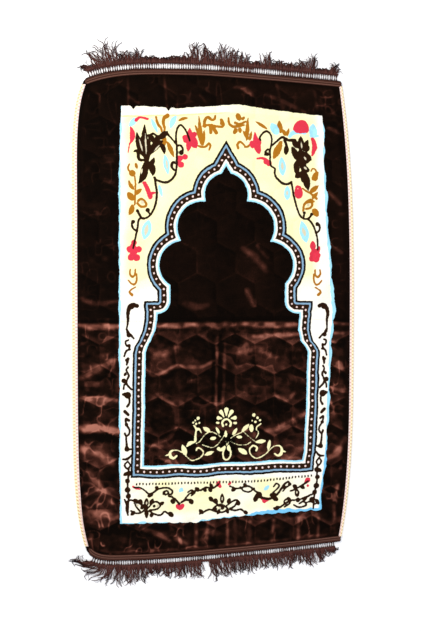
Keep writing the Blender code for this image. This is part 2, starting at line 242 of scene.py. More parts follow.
# The arch is a union of a wedge, three tiers of discs and a body: negative inside
arch = {
    "apexY": 424.0,
    "wedgeDegrees": 30.0,
    "discs": ((0, 291, 83.5), (-56, 213, 93), (56, 213, 93), (-104, 121, 88.6), (107, 121, 88.6),
              (0, 182, 131), (0, 97, 150)),
    "bodyHalf": ((-420, 226), (-90, 226), (-76, 222), (-63, 214), (-38, 203), (-11, 198),
                 (7, 197), (20, 199),
                 (40, 199)),
    "bodyTop": 34.0,
    "bulgeRight": ((-400, -4), (-360, -2), (-340, 1.5), (-300, 3.5), (-235, 4.5), (-175, 6), (-90, 6),
                   (-65, 1), (-30, 7.5), (-5, 14), (40, 15)),
    "neckHalf": 166.5,
    "neckRight": 9.0,
    "neckTop": 130.0,
    "foot": ((-205, -394), (-60, -396), (20, -392), (120, -390), (250, -386)),
    "beadDepth": 15.6,
    "beadPitch": 15.2,
    "beadRadius": 2.5,
}


def tableLine(rows, value):
    # straight runs between the rows of a (place, height) table
    places, heights = zip(*rows)
    return np.interp(value, places, heights)


def archDepth(x, y):
    # the least of the signed distances to the wedge, each disc, the neck and the body, in millimetres
    u = x - tableLine(panel["axis"], y)
    angle = math.radians(arch["wedgeDegrees"])
    wedge = np.abs(u) * math.cos(angle) - (arch["apexY"] - y) * math.sin(angle)
    depth = np.maximum(wedge, 278.0 - y)
    for du, cy, radius in arch["discs"]:
        depth = np.minimum(depth, np.hypot(u - du, y - cy) - radius)
    half = tableLine(arch["bodyHalf"], y) + (u > 0) * tableLine(arch["bulgeRight"], y)
    # under the neck the depth is the straight distance to the inward corner on the shoulder
    past, over = np.abs(u) - arch["neckHalf"] - (u > 0) * arch["neckRight"], y - arch["bodyTop"]
    shoulder = np.where((past > 0) & (over > 0), np.minimum(past, over),
                        -np.hypot(np.minimum(past, 0.0), np.minimum(over, 0.0)))
    body = np.maximum.reduce([np.abs(u) - half, y - arch["neckTop"], shoulder])
    body = np.maximum(body, tableLine(arch["foot"], x) + 1.2 * np.sin(x / 19.0) - y)
    return np.minimum(depth, body) + 0.8 * softNoise(x, y, 34.0, 5)


def beadPlaces():
    # the line at bead depth, found along rays by halving, then stepped at the bead pitch
    rays, centreX, centreY = 3000, 22, -34
    angle = np.linspace(0, 2 * math.pi, rays)
    ux, uy = np.cos(angle), np.sin(angle)
    near, far = np.full(rays, 20.0), np.full(rays, 620.0)
    for _ in range(30):
        middle = (near + far) / 2
        inside = archDepth(centreX + middle * ux, centreY + middle * uy) < -arch["beadDepth"]
        near, far = np.where(inside, middle, near), np.where(inside, far, middle)
    line = np.stack([centreX + near * ux, centreY + near * uy], -1)
    run = np.concatenate([[0], np.cumsum(np.hypot(*np.diff(line, axis=0).T))])
    count = int(run[-1] / arch["beadPitch"])
    steps = np.arange(count) * run[-1] / count
    return np.stack([np.interp(steps, run, line[:, 0]), np.interp(steps, run, line[:, 1])], -1)


# Marks of each dye: paths are (points, full width at the start, middle and end), leaves are
# (base, tip, full width, bend to the left as a share of the length), dots are (centre, radius)
spandrelLeft = {
    "inkDark": {
        "paths": (
            (((-62, 420), (-68, 437), (-75, 449), (-83, 457), (-90, 452), (-94, 440), (-95, 424),
              (-94, 410),
              (-93, 397), (-93, 377), (-93, 361), (-95, 347), (-98, 336), (-105, 327),
              (-113, 321), (-123, 319),
              (-133, 321), (-143, 325), (-147, 330)), 3.4, 3.8, 4.6),
            (((-94, 410), (-103, 421), (-111, 430), (-120, 439), (-127, 433)), 3.4, 3.6, 6.0),
            (((-137, 427), (-144, 432), (-151, 435), (-158, 429), (-158, 421)), 4.0, 4.0, 5.0),
            (((-146, 330), (-144, 313), (-141, 296), (-142, 280), (-144, 267), (-149, 254), (-156, 242),
              (-164, 235), (-173, 232), (-179, 235), (-184, 243), (-188, 250)), 4.4, 3.8, 4.4),
            (((-94, 405), (-88, 408), (-83, 407), (-79, 401), (-79, 393)), 3.0, 4.0, 4.0),
            (((-94, 348), (-100, 350), (-105, 356), (-105, 364), (-101, 368), (-97, 366)), 3.0, 5.6, 4.0),
            (((-195, 392), (-191, 394), (-186, 388), (-185, 378), (-181, 372), (-171, 372)), 3.0, 7.0, 5.0),
            (((-163, 376), (-170, 372), (-181, 372)), 5.0, 5.0, 5.0),
            (((-158, 243), (-163, 250)), 3.0, 3.4, 3.4),
            (((-173, 233), (-184, 230), (-188, 206), (-193, 184), (-198, 161)), 3.6, 3.8, 3.0),
            (((-190, 202), (-198, 208), (-201, 218), (-197, 225)), 3.4, 3.6, 5.0),
        ),
        "leaves": (
            ((-166, 368), (-170, 456), 17.0, 0.03), ((-171, 380), (-189, 437), 16.0, 0.04),
            ((-163, 368), (-160, 427), 12.0, 0.0), ((-128, 417), (-156, 385), 17.0, -0.12),
            ((-133, 413), (-123, 387), 10.0, 0.1), ((-162, 432), (-147, 411), 11.5, 0.1),
            ((-135, 424), (-115, 441), 14.0, 0.0), ((-165, 360), (-148, 378), 11.0, -0.2),
            ((-171, 364), (-185, 316), 17.0, 0.12), ((-164, 362), (-177, 326), 12.0, 0.0),
            ((-158, 364), (-151, 335), 15.0, 0.1), ((-136, 430), (-143, 418), 12.0, 0.0),
        ),
        "dots": (((-163, 360), 8.0), ((-82, 391), 5.2), ((-163, 252), 4.6), ((-188, 250), 3.6),
                 ((-128, 430), 6.0), ((-198, 224), 4.2), ((-166, 371), 5.5)),
    },
    "inkRose": {
        "paths": (
            (((-190, 467), (-184, 473), (-174, 473), (-163, 470)), 9.0, 5.0, 6.0),
            (((-206, 411), (-210, 388)), 4.0, 3.4, 2.6),
            (((-171, 317), (-166, 308), (-162, 298), (-157, 284)), 10.0, 11.0, 12.0),
            (((-158, 292), (-146, 294)), 9.0, 7.0, 5.0),
        ),
        "leaves": (((-204, 450), (-206, 408), 13.0, 0.14), ((-62, 420), (-62, 450), 15.0, 0.0),
                   ((-62, 424), (-66, 394), 14.0, 0.0), ((-54, 430), (-46, 402), 16.0, 0.0),
                   ((-198, 140), (-199, 176), 18.0, 0.0)),
        "dots": (((-73, 427), 7.0), ((-72, 420), 6.0), ((-51, 435), 6.6), ((-51, 410), 7.4),
                 ((-60, 424), 4.0),
                 ((-86, 377), 7.6), ((-73, 381), 7.0), ((-83, 362), 7.6), ((-89, 368), 5.0),
                 ((-206, 158), 8.4), ((-185, 158), 7.8), ((-203, 139), 8.6), ((-190, 138), 8.6),
                 ((-196, 174), 7.0),
                 ((-196, 152), 8.0)),
    },
    "inkSky": {
        "paths": (),
        "leaves": (((-193, 472), (-208, 452), 14.0, 0.1), ((-154, 471), (-138, 436), 9.0, 0.0),
                   ((-94, 478), (-108, 447), 13.0, -0.08), ((-122, 385), (-114, 337), 14.0, 0.0),
                   ((-136, 314), (-128, 283), 8.0, 0.0), ((-161, 226), (-172, 181), 23.0, 0.0)),
        "dots": (),
    },
    "inkTan": {
        "paths": (
            (((-143, 475), (-139, 460), (-131, 449), (-129, 440)), 4.0, 5.6, 3.0),
            (((-115, 479), (-124, 472), (-125, 460), (-122, 448), (-123, 440)), 9.0, 6.0, 3.0),
            (((-48, 456), (-42, 440), (-35, 414)), 3.0, 5.6, 3.6),
            (((-43, 409), (-33, 405), (-22, 407), (-16, 414), (-12, 408), (-15, 399)), 3.0, 4.4, 3.4),
            (((-27, 456), (-25, 470), (-18, 477), (-8, 471), (-1, 474), (0, 481)), 6.0, 6.0, 4.0),
            (((-26, 458), (-10, 458), (4, 455), (16, 455), (20, 462), (15, 471)), 4.4, 5.0, 7.0),
            (((-13, 458), (-11, 440)), 5.0, 6.0, 7.0),
            (((-8, 458), (2, 440)), 6.0, 9.0, 8.0),
            (((-207, 361), (-210, 350), (-201, 340)), 3.0, 3.4, 3.6),
            (((-194, 333), (-192, 313), (-193, 288), (-194, 265)), 3.0, 3.4, 3.0),
            (((-186, 274), (-178, 279), (-168, 270), (-167, 262), (-179, 260), (-187, 268)), 5.0, 4.4, 5.0),
        ),
        "leaves": (((-88, 467), (-65, 474), 6.0, 0.1), ((-116, 416), (-100, 380), 10.0, 0.0),
                   ((-122, 428), (-125, 404), 10.0, 0.0), ((-33, 410), (-40, 479), 8.4, 0.0),
                   ((-30, 410), (-27, 446), 7.0, 0.0), ((-192, 364), (-188, 351), 6.0, 0.0),
                   ((-195, 301), (-208, 323), 8.0, 0.1), ((-190, 289), (-177, 302), 9.0, 0.1),
                   ((-198, 277), (-211, 293), 14.0, 0.0), ((-200, 264), (-208, 241), 12.0, 0.1)),
        "dots": (((-200, 340), 7.4), ((-26, 456), 4.6)),
    },
    "inkPale": {
        "paths": (),
        "leaves": (((-166, 385), (-169, 436), 3.2, 0.0), ((-175, 392), (-184, 424), 3.2, 0.0),
                   ((-135, 408), (-148, 393), 3.0, 0.0), ((-164, 217), (-169, 191), 9.0, 0.0),
                   ((-119, 374), (-115, 348), 4.6, 0.0), ((-176, 351), (-179, 338), 4.0, 0.0)),
        "dots": (((-176, 270), 4.4),),
    },
}

# The right one is drawn apart, as it is no true mirror of the left
spandrelRight = {
    "inkDark": {
        "paths": (
            (((110, 424), (108, 429), (111, 435), (117, 442), (125, 446), (133, 441), (137, 433),
              (138, 422), (136, 410)), 3.4, 3.8, 3.0),
            (((136, 410), (143, 416), (154, 425), (163, 432), (172, 429)), 3.0, 4.0, 5.0),
            (((172, 429), (179, 425), (189, 425), (197, 421), (202, 411)), 5.0, 6.0, 5.0),
            (((136, 410), (134, 399), (134, 384), (134, 371), (136, 362), (141, 359), (146, 354),
              (145, 345), (148, 336), (155, 328), (166, 320), (178, 319), (187, 324)), 3.0, 3.6, 4.8),
            (((122, 389), (123, 397), (129, 402), (134, 399)), 3.4, 3.4, 3.0),
            (((187, 324), (189, 310), (192, 291), (197, 273), (202, 256), (208, 243), (216, 236),
              (225, 234), (232, 238), (237, 246)), 4.0, 3.8, 3.6),
            (((218, 239), (219, 249)), 3.4, 3.4, 3.4),
            (((228, 233), (236, 226), (242, 215), (247, 202), (251, 187), (252, 176), (253, 159)),
             3.6, 3.4, 2.8),
            (((247, 200), (253, 203), (257, 210), (256, 219), (251, 223)), 3.0, 3.6, 5.0),
            (((169, 425), (173, 416), (176, 407)), 5.0, 5.0, 5.0),
        ),
        "leaves": (
            ((210, 400), (209, 435), 15.0, 0.0), ((217, 400), (227, 426), 12.0, 0.0),
            ((202, 408), (189, 425), 12.0, 0.0), ((205, 377), (187, 409), 15.0, 0.0),
            ((215, 395), (235, 377), 16.0, 0.0), ((217, 370), (235, 385), 12.0, 0.0),
            ((206, 377), (194, 357), 13.0, 0.0), ((212, 359), (230, 351), 15.0, 0.0),
            ((214, 345), (196, 336), 13.0, 0.0), ((219, 348), (229, 304), 17.0, 0.0),
            ((216, 344), (218, 322), 14.0, 0.0), ((174, 411), (173, 390), 11.0, 0.0),
            ((223, 399), (230, 412), 9.0, 0.0), ((208, 400), (208, 374), 17.0, 0.0),
            ((200, 363), (200, 344), 12.0, 0.0),
        ),
        "dots": (
            ((127, 391), 4.2), ((212, 382), 7.6), ((214, 365), 8.6), ((193, 423), 5.6), ((216, 345), 8.0),
            ((209, 414), 6.6), ((251, 222), 4.4), ((219, 249), 3.2), ((237, 246), 3.4), ((222, 374), 5.0),
        ),
    },
    "inkRose": {
        "paths": (
            (((196, 453), (201, 461), (210, 466), (219, 462), (224, 453), (224, 447)), 12.0, 20.0, 8.0),
            (((239, 429), (243, 419), (244, 408), (241, 397), (238, 389)), 9.0, 13.0, 5.0),
            (((103, 380), (113, 381), (121, 378), (126, 373), (131, 368)), 5.0, 8.0, 14.0),
            (((197, 303), (200, 312), (207, 311), (210, 302), (210, 292), (204, 287), (198, 292),
              (197, 303)), 6.0, 9.0, 6.0),
        ),
        "leaves": (
            ((101, 398), (96, 444), 14.0, 0.0), ((107, 392), (97, 425), 17.0, 0.0),
            ((91, 405), (87, 423), 12.0, 0.0), ((105, 428), (111, 413), 8.0, 0.0),
            ((241, 159), (239, 180), 15.0, 0.0), ((251, 149), (257, 169), 10.0, 0.0),
        ),
        "dots": (
            ((208, 452), 10.0), ((200, 450), 7.0), ((216, 450), 7.0),
            ((124, 372), 7.0), ((204, 299), 8.0), ((241, 148), 8.4), ((251, 146), 8.4), ((239, 138), 8.0),
            ((249, 136), 8.0), ((244, 155), 7.6),
        ),
    },
    "inkSky": {
        "paths": (
            (((182, 434), (189, 442), (204, 446), (220, 443)), 8.0, 12.0, 8.0),
            (((234, 437), (242, 436), (252, 437)), 6.0, 7.0, 6.0),
        ),
        "leaves": (
            ((152, 440), (137, 466), 19.0, 0.0), ((241, 433), (239, 466), 20.0, 0.0),
            ((165, 340), (162, 385), 18.0, 0.0), ((176, 281), (177, 315), 16.0, 0.0),
            ((224, 178), (212, 230), 22.0, 0.0),
        ),
        "dots": (),
    },
    "inkTan": {
        "paths": (
            (((73, 408), (65, 417), (59, 419), (54, 413), (56, 404)), 3.0, 5.0, 5.0),
            (((72, 407), (81, 409), (88, 416)), 3.6, 4.4, 3.0),
            (((32, 476), (34, 463), (43, 456), (56, 457), (70, 460)), 3.6, 6.0, 4.0),
            (((48, 465), (60, 462), (74, 469)), 5.0, 5.0, 3.0),
            (((235, 351), (239, 357), (246, 354), (251, 344)), 3.0, 3.4, 3.6),
            (((214, 309), (224, 302), (236, 296), (249, 284)), 3.0, 4.4, 5.0),
            (((216, 255), (218, 269), (226, 275), (236, 276), (239, 269), (233, 261), (223, 259)),
             4.4, 5.4, 4.4),
            (((222, 276), (234, 281), (243, 277)), 3.4, 5.0, 3.0),
            (((159, 422), (153, 410), (147, 394)), 3.0, 5.0, 4.0),
        ),
        "leaves": (
            ((126, 452), (99, 469), 7.0, 0.0), ((160, 443), (156, 472), 12.0, 0.0),
            ((172, 436), (164, 452), 8.0, 0.0), ((175, 435), (180, 453), 6.0, 0.0),
            ((143, 381), (163, 423), 16.0, 0.0), ((76, 423), (80, 477), 8.4, 0.0),
            ((81, 425), (67, 446), 7.4, 0.0), ((84, 423), (88, 444), 6.0, 0.0),
            ((239, 330), (252, 349), 12.0, 0.0), ((233, 299), (254, 316), 11.0, 0.0),
            ((242, 258), (253, 241), 14.0, 0.0), ((239, 284), (252, 300), 8.0, 0.0),
            ((59, 472), (53, 487), 12.0, 0.0), ((52, 451), (45, 438), 9.0, 0.0),
            ((59, 453), (61, 441), 8.0, 0.0), ((65, 473), (71, 479), 6.0, 0.0),
        ),
        "dots": (
            ((245, 334), 6.6), ((16, 463), 4.6),
        ),
    },
    "inkPale": {
        "paths": (),
        "leaves": (
            ((165, 352), (163, 373), 6.4, 0.0), ((221, 192), (214, 214), 8.0, 0.0),
            ((176, 291), (176, 303), 5.0, 0.0), ((212, 405), (210, 422), 3.2, 0.0),
            ((224, 355), (217, 361), 4.0, 0.0), ((223, 377), (218, 387), 3.6, 0.0),
        ),
        "dots": (
            ((228, 268), 3.6),
        ),
    },
}

# Both sides' marks beside the waist of the arch: tulip and teardrop heads and three curls
waist = {
    "inkDark": {
        "paths": (
            (((-189, 22), (-199, 25), (-207, 20), (-211, 4), (-211, -14), (-214, -34)), 8.0, 8.0, 1.6),
        ),
        "leaves": (),
        "dots": (((-202, 21), 6.2), ((-210, -49), 3.6)),
    },
    "inkTan": {
        "paths": (
            (((-205, 110), (-206, 99), (-200, 92), (-194, 98), (-193, 110)), 2.0, 4.0, 2.0),
            (((-190, 99), (-190, 84), (-195, 74), (-203, 76), (-210, 84)), 2.4, 3.6, 2.0),
            (((-193, 67), (-203, 61), (-207, 55), (-201, 49)), 2.0, 2.6, 6.0),
        ),
        "leaves": (),
        "dots": (),
    },
}

# One side column of the frame: a wavy vine with buds and curls, on the left
column = {
    "inkDark": {
        "paths": (
            (((-214, -34), (-211, -44), (-204, -48), (-197, -57)), 3.0, 4.4, 2.6),
            (((-210, -60), (-217, -64), (-214, -74), (-207, -72), (-209, -83)), 2.8, 3.0, 3.4),
            (((-206, -83), (-215, -86), (-220, -99)), 3.0, 3.4, 2.6),
            (((-211, -105), (-214, -119)), 6.0, 4.4, 3.0),
            (((-211, -125), (-215, -133), (-209, -145), (-214, -157), (-214, -167),
              (-203, -179)), 2.8, 3.0, 3.4),
            (((-222, -178), (-220, -168), (-214, -165)), 3.0, 3.0, 3.0),
            (((-208, -200), (-208, -212), (-213, -220)), 3.0, 3.4, 4.4),
            (((-219, -232), (-211, -240)), 6.4, 5.0, 5.4),
            (((-209, -254), (-217, -250), (-215, -264), (-208, -276), (-209, -287), (-216, -292),
              (-219, -285)),
             4.4, 3.0, 3.4),
            (((-216, -295), (-215, -311), (-213, -323), (-201, -323)), 2.8, 4.2, 3.0),
            (((-202, -337), (-213, -347), (-224, -348)), 3.0, 4.6, 2.6),
            (((-213, -354), (-220, -362), (-213, -371), (-206, -363), (-212, -354)), 2.8, 2.8, 2.8),
            (((-210, -371), (-211, -392), (-213, -412), (-211, -440), (-212, -478)), 2.8, 3.0, 2.4),
        ),
        "leaves": (((-208, -50), (-214, -33), 6.0, 0.0), ((-216, -140), (-220, -146), 5.0, 0.0),
                   ((-213, -190), (-225, -190), 7.0, 0.1), ((-210, -380), (-222, -386), 8.0, 0.0)),
        "dots": (((-209, -48), 4.6), ((-221, -158), 5.0), ((-212, -193), 7.4), ((-214, -108), 3.4),
                 ((-215, -264), 3.6), ((-214, -323), 5.4), ((-209, -382), 5.6), ((-213, -400), 5.0),
                 ((-213, -422), 6.2), ((-211, -438), 5.4)),
    },
}

# The deep border under the arch: a looping garland, its rose buds, and three line-drawn lilies
garland = {
    "inkDark": {
        "paths": (
            (((-197, -417), (-182, -418), (-171, -425), (-162, -433), (-151, -430), (-140, -422),
              (-126, -419), (-113, -420), (-104, -429), (-108, -436), (-116, -433)), 2.8, 3.4, 3.0),
            (((-127, -429), (-118, -426), (-114, -432), (-121, -437)), 2.8, 3.0, 3.0),
            (((-114, -440), (-105, -442), (-96, -449), (-88, -459)), 3.0, 4.0, 4.4),
            (((-83, -455), (-70, -449), (-57, -455)), 3.4, 4.4, 3.4),
            (((-76, -449), (-63, -436), (-49, -428), (-34, -426), (-23, -420), (-7, -423), (8, -414)),
             3.0, 3.8, 3.4),
            (((-67, -432), (-58, -426), (-50, -432), (-58, -440)), 2.8, 3.0, 2.8),
            (((36, -418), (50, -424), (65, -423), (79, -419), (91, -425), (101, -434), (112, -438),
              (114, -448)), 3.2, 3.4, 3.8),
            (((62, -421), (70, -431), (84, -434), (96, -426)), 2.8, 3.2, 3.0),
            (((97, -452), (105, -444), (114, -448), (131, -452), (144, -448), (155, -440), (163, -428),
              (171, -416), (180, -411), (184, -419), (175, -425), (168, -434)), 5.4, 4.6, 3.2),
            (((142, -437), (151, -429), (158, -420), (151, -414), (144, -422)), 2.8, 3.2, 2.8),
            (((186, -434), (200, -429), (215, -420), (230, -410)), 3.0, 3.4, 3.8),
            (((-216, -452), (-207, -447), (-195, -450), (-182, -457), (-170, -466)), 3.0, 3.4, 3.4),
            (((-220, -446), (-215, -458), (-216, -469), (-212, -483)), 3.0, 4.4, 2.8),
            (((-205, -473), (-193, -479), (-179, -477), (-171, -470)), 3.2, 3.4, 3.2),
            (((-162, -465), (-151, -454), (-140, -454), (-134, -463), (-143, -471), (-160, -472)),
             3.0, 3.4, 3.2),
            (((-161, -474), (-149, -482), (-134, -486), (-124, -477), (-115, -482), (-104, -485)),
             3.2, 3.4, 3.8),
            (((-197, -454), (-189, -467), (-180, -478)), 2.8, 3.4, 2.8),
            (((-13, -448), (-1, -457), (13, -470)), 3.0, 3.6, 3.2),
            (((-7, -475), (2, -466), (13, -463), (23, -467), (31, -476), (16, -482), (2, -480),
              (-7, -475)), 3.4, 3.4, 3.4),
            (((27, -467), (39, -458), (54, -454), (48, -468), (35, -473)), 3.0, 3.6, 3.0),
            (((-38, -485), (-26, -479), (-15, -474), (-4, -478)), 3.2, 3.8, 3.0),
            (((35, -475), (50, -479), (62, -476), (73, -483)), 3.0, 3.8, 3.0),
            (((145, -476), (160, -473), (171, -465), (186, -457), (200, -456)), 3.2, 3.8, 3.2),
            (((171, -472), (184, -463), (178, -453), (170, -459), (175, -467)), 3.0, 3.4, 3.0),
            (((206, -456), (221, -451), (235, -446), (250, -440)), 3.2, 3.6, 3.0),
            (((194, -468), (207, -474), (225, -470), (219, -460), (208, -465)), 3.0, 3.6, 3.0),
            (((223, -464), (237, -461), (248, -467), (255, -461)), 3.0, 3.6, 3.0),
        ),
        "leaves": (
            ((-168, -463), (-167, -444), 10.0, 0.0), ((-168, -471), (-167, -491), 9.0, 0.0),
            ((-187, -454), (-197, -445), 8.0, 0.0), ((-179, -456), (-184, -446), 8.0, 0.0),
            ((-158, -457), (-151, -446), 8.0, 0.0), ((-113, -480), (-103, -489), 10.0, 0.0),
            ((-196, -475), (-205, -483), 8.0, 0.0), ((-153, -480), (-157, -489), 8.0, 0.0),
            ((-135, -460), (-125, -454), 7.0, 0.0), ((-181, -468), (-171, -459), 8.0, 0.0),
            ((17, -459), (17, -437), 10.0, 0.0), ((-7, -453), (-15, -444), 9.0, 0.0),
            ((54, -455), (59, -466), 9.0, 0.0), ((-30, -483), (-39, -475), 9.0, 0.0),
            ((4, -458), (-1, -448), 8.0, 0.0), ((31, -459), (36, -449), 8.0, 0.0),
            ((10, -475), (5, -486), 7.0, 0.0), ((27, -475), (32, -485), 7.0, 0.0),
            ((71, -481), (79, -487), 8.0, 0.0), ((203, -447), (202, -430), 11.0, 0.0),
            ((186, -459), (179, -449), 8.0, 0.0), ((218, -457), (227, -449), 8.0, 0.0),
            ((235, -458), (244, -452), 8.0, 0.0), ((157, -472), (147, -479), 9.0, 0.0),
            ((250, -456), (257, -468), 8.0, 0.0), ((-153, -433), (-164, -440), 9.0, 0.0),
            ((-41, -428), (-48, -420), 9.0, 0.0), ((-29, -422), (-22, -430), 8.0, 0.0),
            ((-61, -450), (-56, -459), 10.0, 0.0), ((-15, -423), (-9, -432), 8.0, 0.0),
            ((-7, -421), (-13, -412), 7.0, 0.0), ((48, -423), (41, -431), 9.0, 0.0),
            ((76, -421), (70, -413), 8.0, 0.0), ((109, -440), (98, -448), 11.0, 0.0),
            ((103, -444), (96, -457), 11.0, 0.0), ((143, -449), (155, -456), 10.0, 0.0),
            ((136, -444), (150, -441), 10.0, 0.0), ((201, -427), (194, -419), 9.0, 0.0),
            ((212, -422), (221, -428), 8.0, 0.0), ((-107, -449), (-100, -457), 9.0, 0.0),
            ((-140, -422), (-145, -415), 7.0, 0.0), ((174, -427), (165, -420), 8.0, 0.0),
        ),
        "dots": (
            ((-168, -467), 5.0), ((17, -470), 5.0), ((204, -456), 5.0), ((-125, -433), 3.4),
            ((-57, -433), 3.0), ((184, -417), 4.0), ((1, -474), 3.4), ((-149, -463), 3.0),
        ),
    },
    "inkRose": {
        "paths": (
            (((-200, -414), (-192, -419), (-183, -422)), 5.0, 6.0, 3.0),
        ),
        "leaves": (
            ((-95, -461), (-76, -462), 13.0, -0.3), ((5, -419), (12, -404), 9.0, 0.0),
            ((32, -415), (39, -407), 7.0, 0.0), ((222, -414), (235, -403), 11.0, 0.0),
        ),
        "dots": (
            ((-91, -464), 6.0), ((-86, -468), 6.0), ((-80, -463), 5.0), ((8, -414), 6.0),
            ((12, -419), 4.0), ((121, -456), 6.0), ((117, -451), 4.4), ((128, -453), 5.0),
            ((229, -407), 6.4), ((229, -421), 3.4),
        ),
    },
    "inkSky": {
        "paths": (),
        "leaves": (
            ((-87, -430), (-80, -420), 8.0, 0.0), ((121, -430), (133, -419), 9.0, 0.0),
            ((-89, -426), (-76, -428), 6.0, 0.0),
        ),
        "dots": (),
    },
    "inkPale": {
        "paths": (),
        "leaves": (
            ((-167, -458), (-167, -451), 3.2, 0.0), ((17, -452), (17, -444), 3.2, 0.0),
            ((202, -441), (202, -434), 3.2, 0.0),
        ),
        "dots": (
            ((-140, -463), 3.4), ((-189, -460), 3.0), ((11, -471), 3.0),
        ),
    },
    "inkTan": {
        "paths": (),
        "leaves": (),
        "dots": (),
    },
}

# The sprig on the dark field, in cream
sprig = {
    "inkCream": {
        "paths": (
            (((19, -271), (17, -264), (20, -257), (27, -254), (34, -257), (38, -264),
              (36, -271)), 6.4, 5.6, 6.4),
            (((27, -245), (27, -231)), 4.0, 8.0, 12.5),
            (((21, -248), (14, -236)), 4.0, 7.0, 11.0),
            (((32, -249), (40, -236)), 4.0, 7.0, 11.0),
            (((15, -252), (8, -251)), 5.0, 7.0, 10.5),
            (((39, -252), (48, -251)), 5.0, 7.0, 11.0),
            (((8, -263), (5, -263)), 6.0, 6.0, 7.0),
            (((46, -263), (50, -264)), 6.0, 6.0, 7.5),
            (((-49, -306), (-48, -291), (-47, -277), (-53, -268)), 8.0, 5.0, 4.0),
            (((-50, -270), (-46, -277), (-39, -278), (-34, -287)), 4.0, 8.0, 3.0),
            (((-47, -313), (-38, -308), (-30, -297), (-20, -288), (-9, -285), (3, -290),
              (13, -297)), 3.0, 3.2, 3.0),
            (((22, -294), (14, -305), (5, -316), (-7, -323), (-20, -320), (-31, -316)), 3.0, 3.2, 3.4),
            (((38, -301), (49, -294), (64, -288)), 3.0, 3.4, 3.6),
            (((70, -286), (81, -296), (93, -306), (101, -312)), 3.2, 3.2, 3.2),
            (((38, -309), (49, -315), (62, -318), (76, -317), (87, -311)), 3.0, 3.0, 3.2),
            (((112, -267), (104, -273), (101, -280), (106, -287), (104, -295), (99, -302)), 4.6, 4.0, 2.6),
            (((26, -308), (28, -318), (33, -309)), 3.0, 3.0, 3.0),
            (((24, -322), (19, -336), (21, -350), (28, -354), (35, -349), (38, -337),
              (33, -322)), 5.0, 5.2, 5.0),
            (((-46, -329), (-43, -324), (-35, -326), (-29, -335), (-35, -346), (-47, -352), (-58, -354),
              (-69, -345), (-81, -334), (-92, -328), (-103, -328)), 5.4, 3.8, 3.4),
            (((-103, -328), (-110, -333), (-109, -343), (-101, -347), (-94, -341)), 5.0, 9.0, 5.0),
            (((101, -332), (102, -324), (93, -320), (85, -327), (86, -340), (97, -350),
              (108, -350), (124, -341),
              (135, -330), (147, -322), (158, -321)), 6.0, 4.0, 3.4),
            (((158, -321), (164, -328), (162, -341), (155, -346), (147, -341)), 4.6, 8.6, 5.0),
        ),
        "leaves": (
            ((26, -298), (26, -281), 8.0, 0.0), ((11, -290), (1, -272), 7.4, 0.0), ((43, -293),
                                                                                    (54, -275), 9.4, 0.0),
            ((-12, -285), (-31, -272), 11.0, 0.0), ((65, -286), (84, -266), 11.0, 0.0),
            ((2, -299), (-14, -302), 9.0, 0.0), ((66, -299), (51, -298), 8.0, 0.0),
            ((-70, -320), (-48, -311), 10.0, 0.2), ((100, -311), (126, -308), 11.0, 0.0),
            ((-71, -340), (-81, -314), 13.0, 0.0), ((130, -332), (135, -305), 10.0, 0.0),
            ((78, -340), (55, -326), 13.0, 0.0), ((-26, -341), (-2, -332), 10.0, 0.0),
            ((88, -268), (90, -288), 12.0, 0.0), ((24, -318), (5, -330), 9.0, 0.2), ((33, -316),
                                                                                     (41, -334), 9.0, -0.2),
            ((-110, -338), (-123, -341), 5.0, 0.0), ((163, -334), (176, -337), 5.0, 0.0),
        ),
        "dots": (
            ((27, -267), 3.2), ((-42, -251), 4.6), ((-49, -256), 3.0), ((-54, -261), 3.0),
            ((-47, -264), 3.4),
            ((-39, -262), 2.8), ((95, -245), 5.0), ((104, -252), 3.6), ((110, -258), 3.6),
            ((99, -262), 3.6),
            ((91, -259), 2.6), ((8, -326), 5.0),
        ),
    },
}


def mirrored(x, y):
    # a left mark's x becomes 53 less x, or, under the arch's shoulder, the panel's right edge less
    # nine tenths of its distance from the left edge
    return np.where(y < 40, tableLine(panel["right"], y) - 0.9 * (x + 234.0), 53.0 - x), y


def brush(field, x, y, points, widths):
    # distance to a run of round-ended strokes less their half width, kept where it is the least
    path = np.array(points, float)
    w = np.interp(np.linspace(0, 1, len(path)), np.linspace(0, 1, len(widths)), widths) / 2
    margin = w.max() + 6.0
    near = ((x > path[:, 0].min() - margin) & (x < path[:, 0].max() + margin)
            & (y > path[:, 1].min() - margin) & (y < path[:, 1].max() + margin))
    if not near.any():
        return
    p = np.stack([x[near], y[near]], -1)[:, None, :]
    start, step = path[None, :-1], (path[1:] - path[:-1])[None]
    share = np.clip(((p - start) * step).sum(-1) / np.maximum((step ** 2).sum(-1), 1e-6), 0, 1)
    gap = np.hypot(*np.moveaxis(p - start - share[..., None] * step, -1, 0))
    field[near] = np.minimum(field[near], (gap - (w[:-1] + (w[1:] - w[:-1]) * share)).min(1))


def drawMotif(fields, x, y, motif, flip=False, bold=0.0):
    # every path, leaf and dot of a motif, made wider by bold, brushed into its own dye's field
    for dye, marks in motif.items():
        strokes = [(np.array(points, float), widths) for points, *widths in marks["paths"]]
        for base, tip, width, bend in marks["leaves"]:
            a, b = np.array(base, float), np.array(tip, float)
            t = np.linspace(0, 1, 9)[:, None]
            side = np.array([a[1] - b[1], b[0] - a[0]]) * bend
            profile = width * np.sin(math.pi * np.linspace(0.04, 0.985, 9) ** 0.9) + 0.4
            strokes.append((a + (b - a) * t + side * 4 * t * (1 - t), profile))
        for centre, radius in marks["dots"]:
            strokes.append((np.array([centre, centre], float), (radius * 2, radius * 2)))
        for points, widths in strokes:
            if flip:
                points = np.stack(mirrored(points[:, 0], points[:, 1]), -1)
            if 2 < len(points) and len(widths) == 3:
                points = smoothPath(points, 5)
            brush(fields[dye], x, y, points, np.array(widths) + bold)


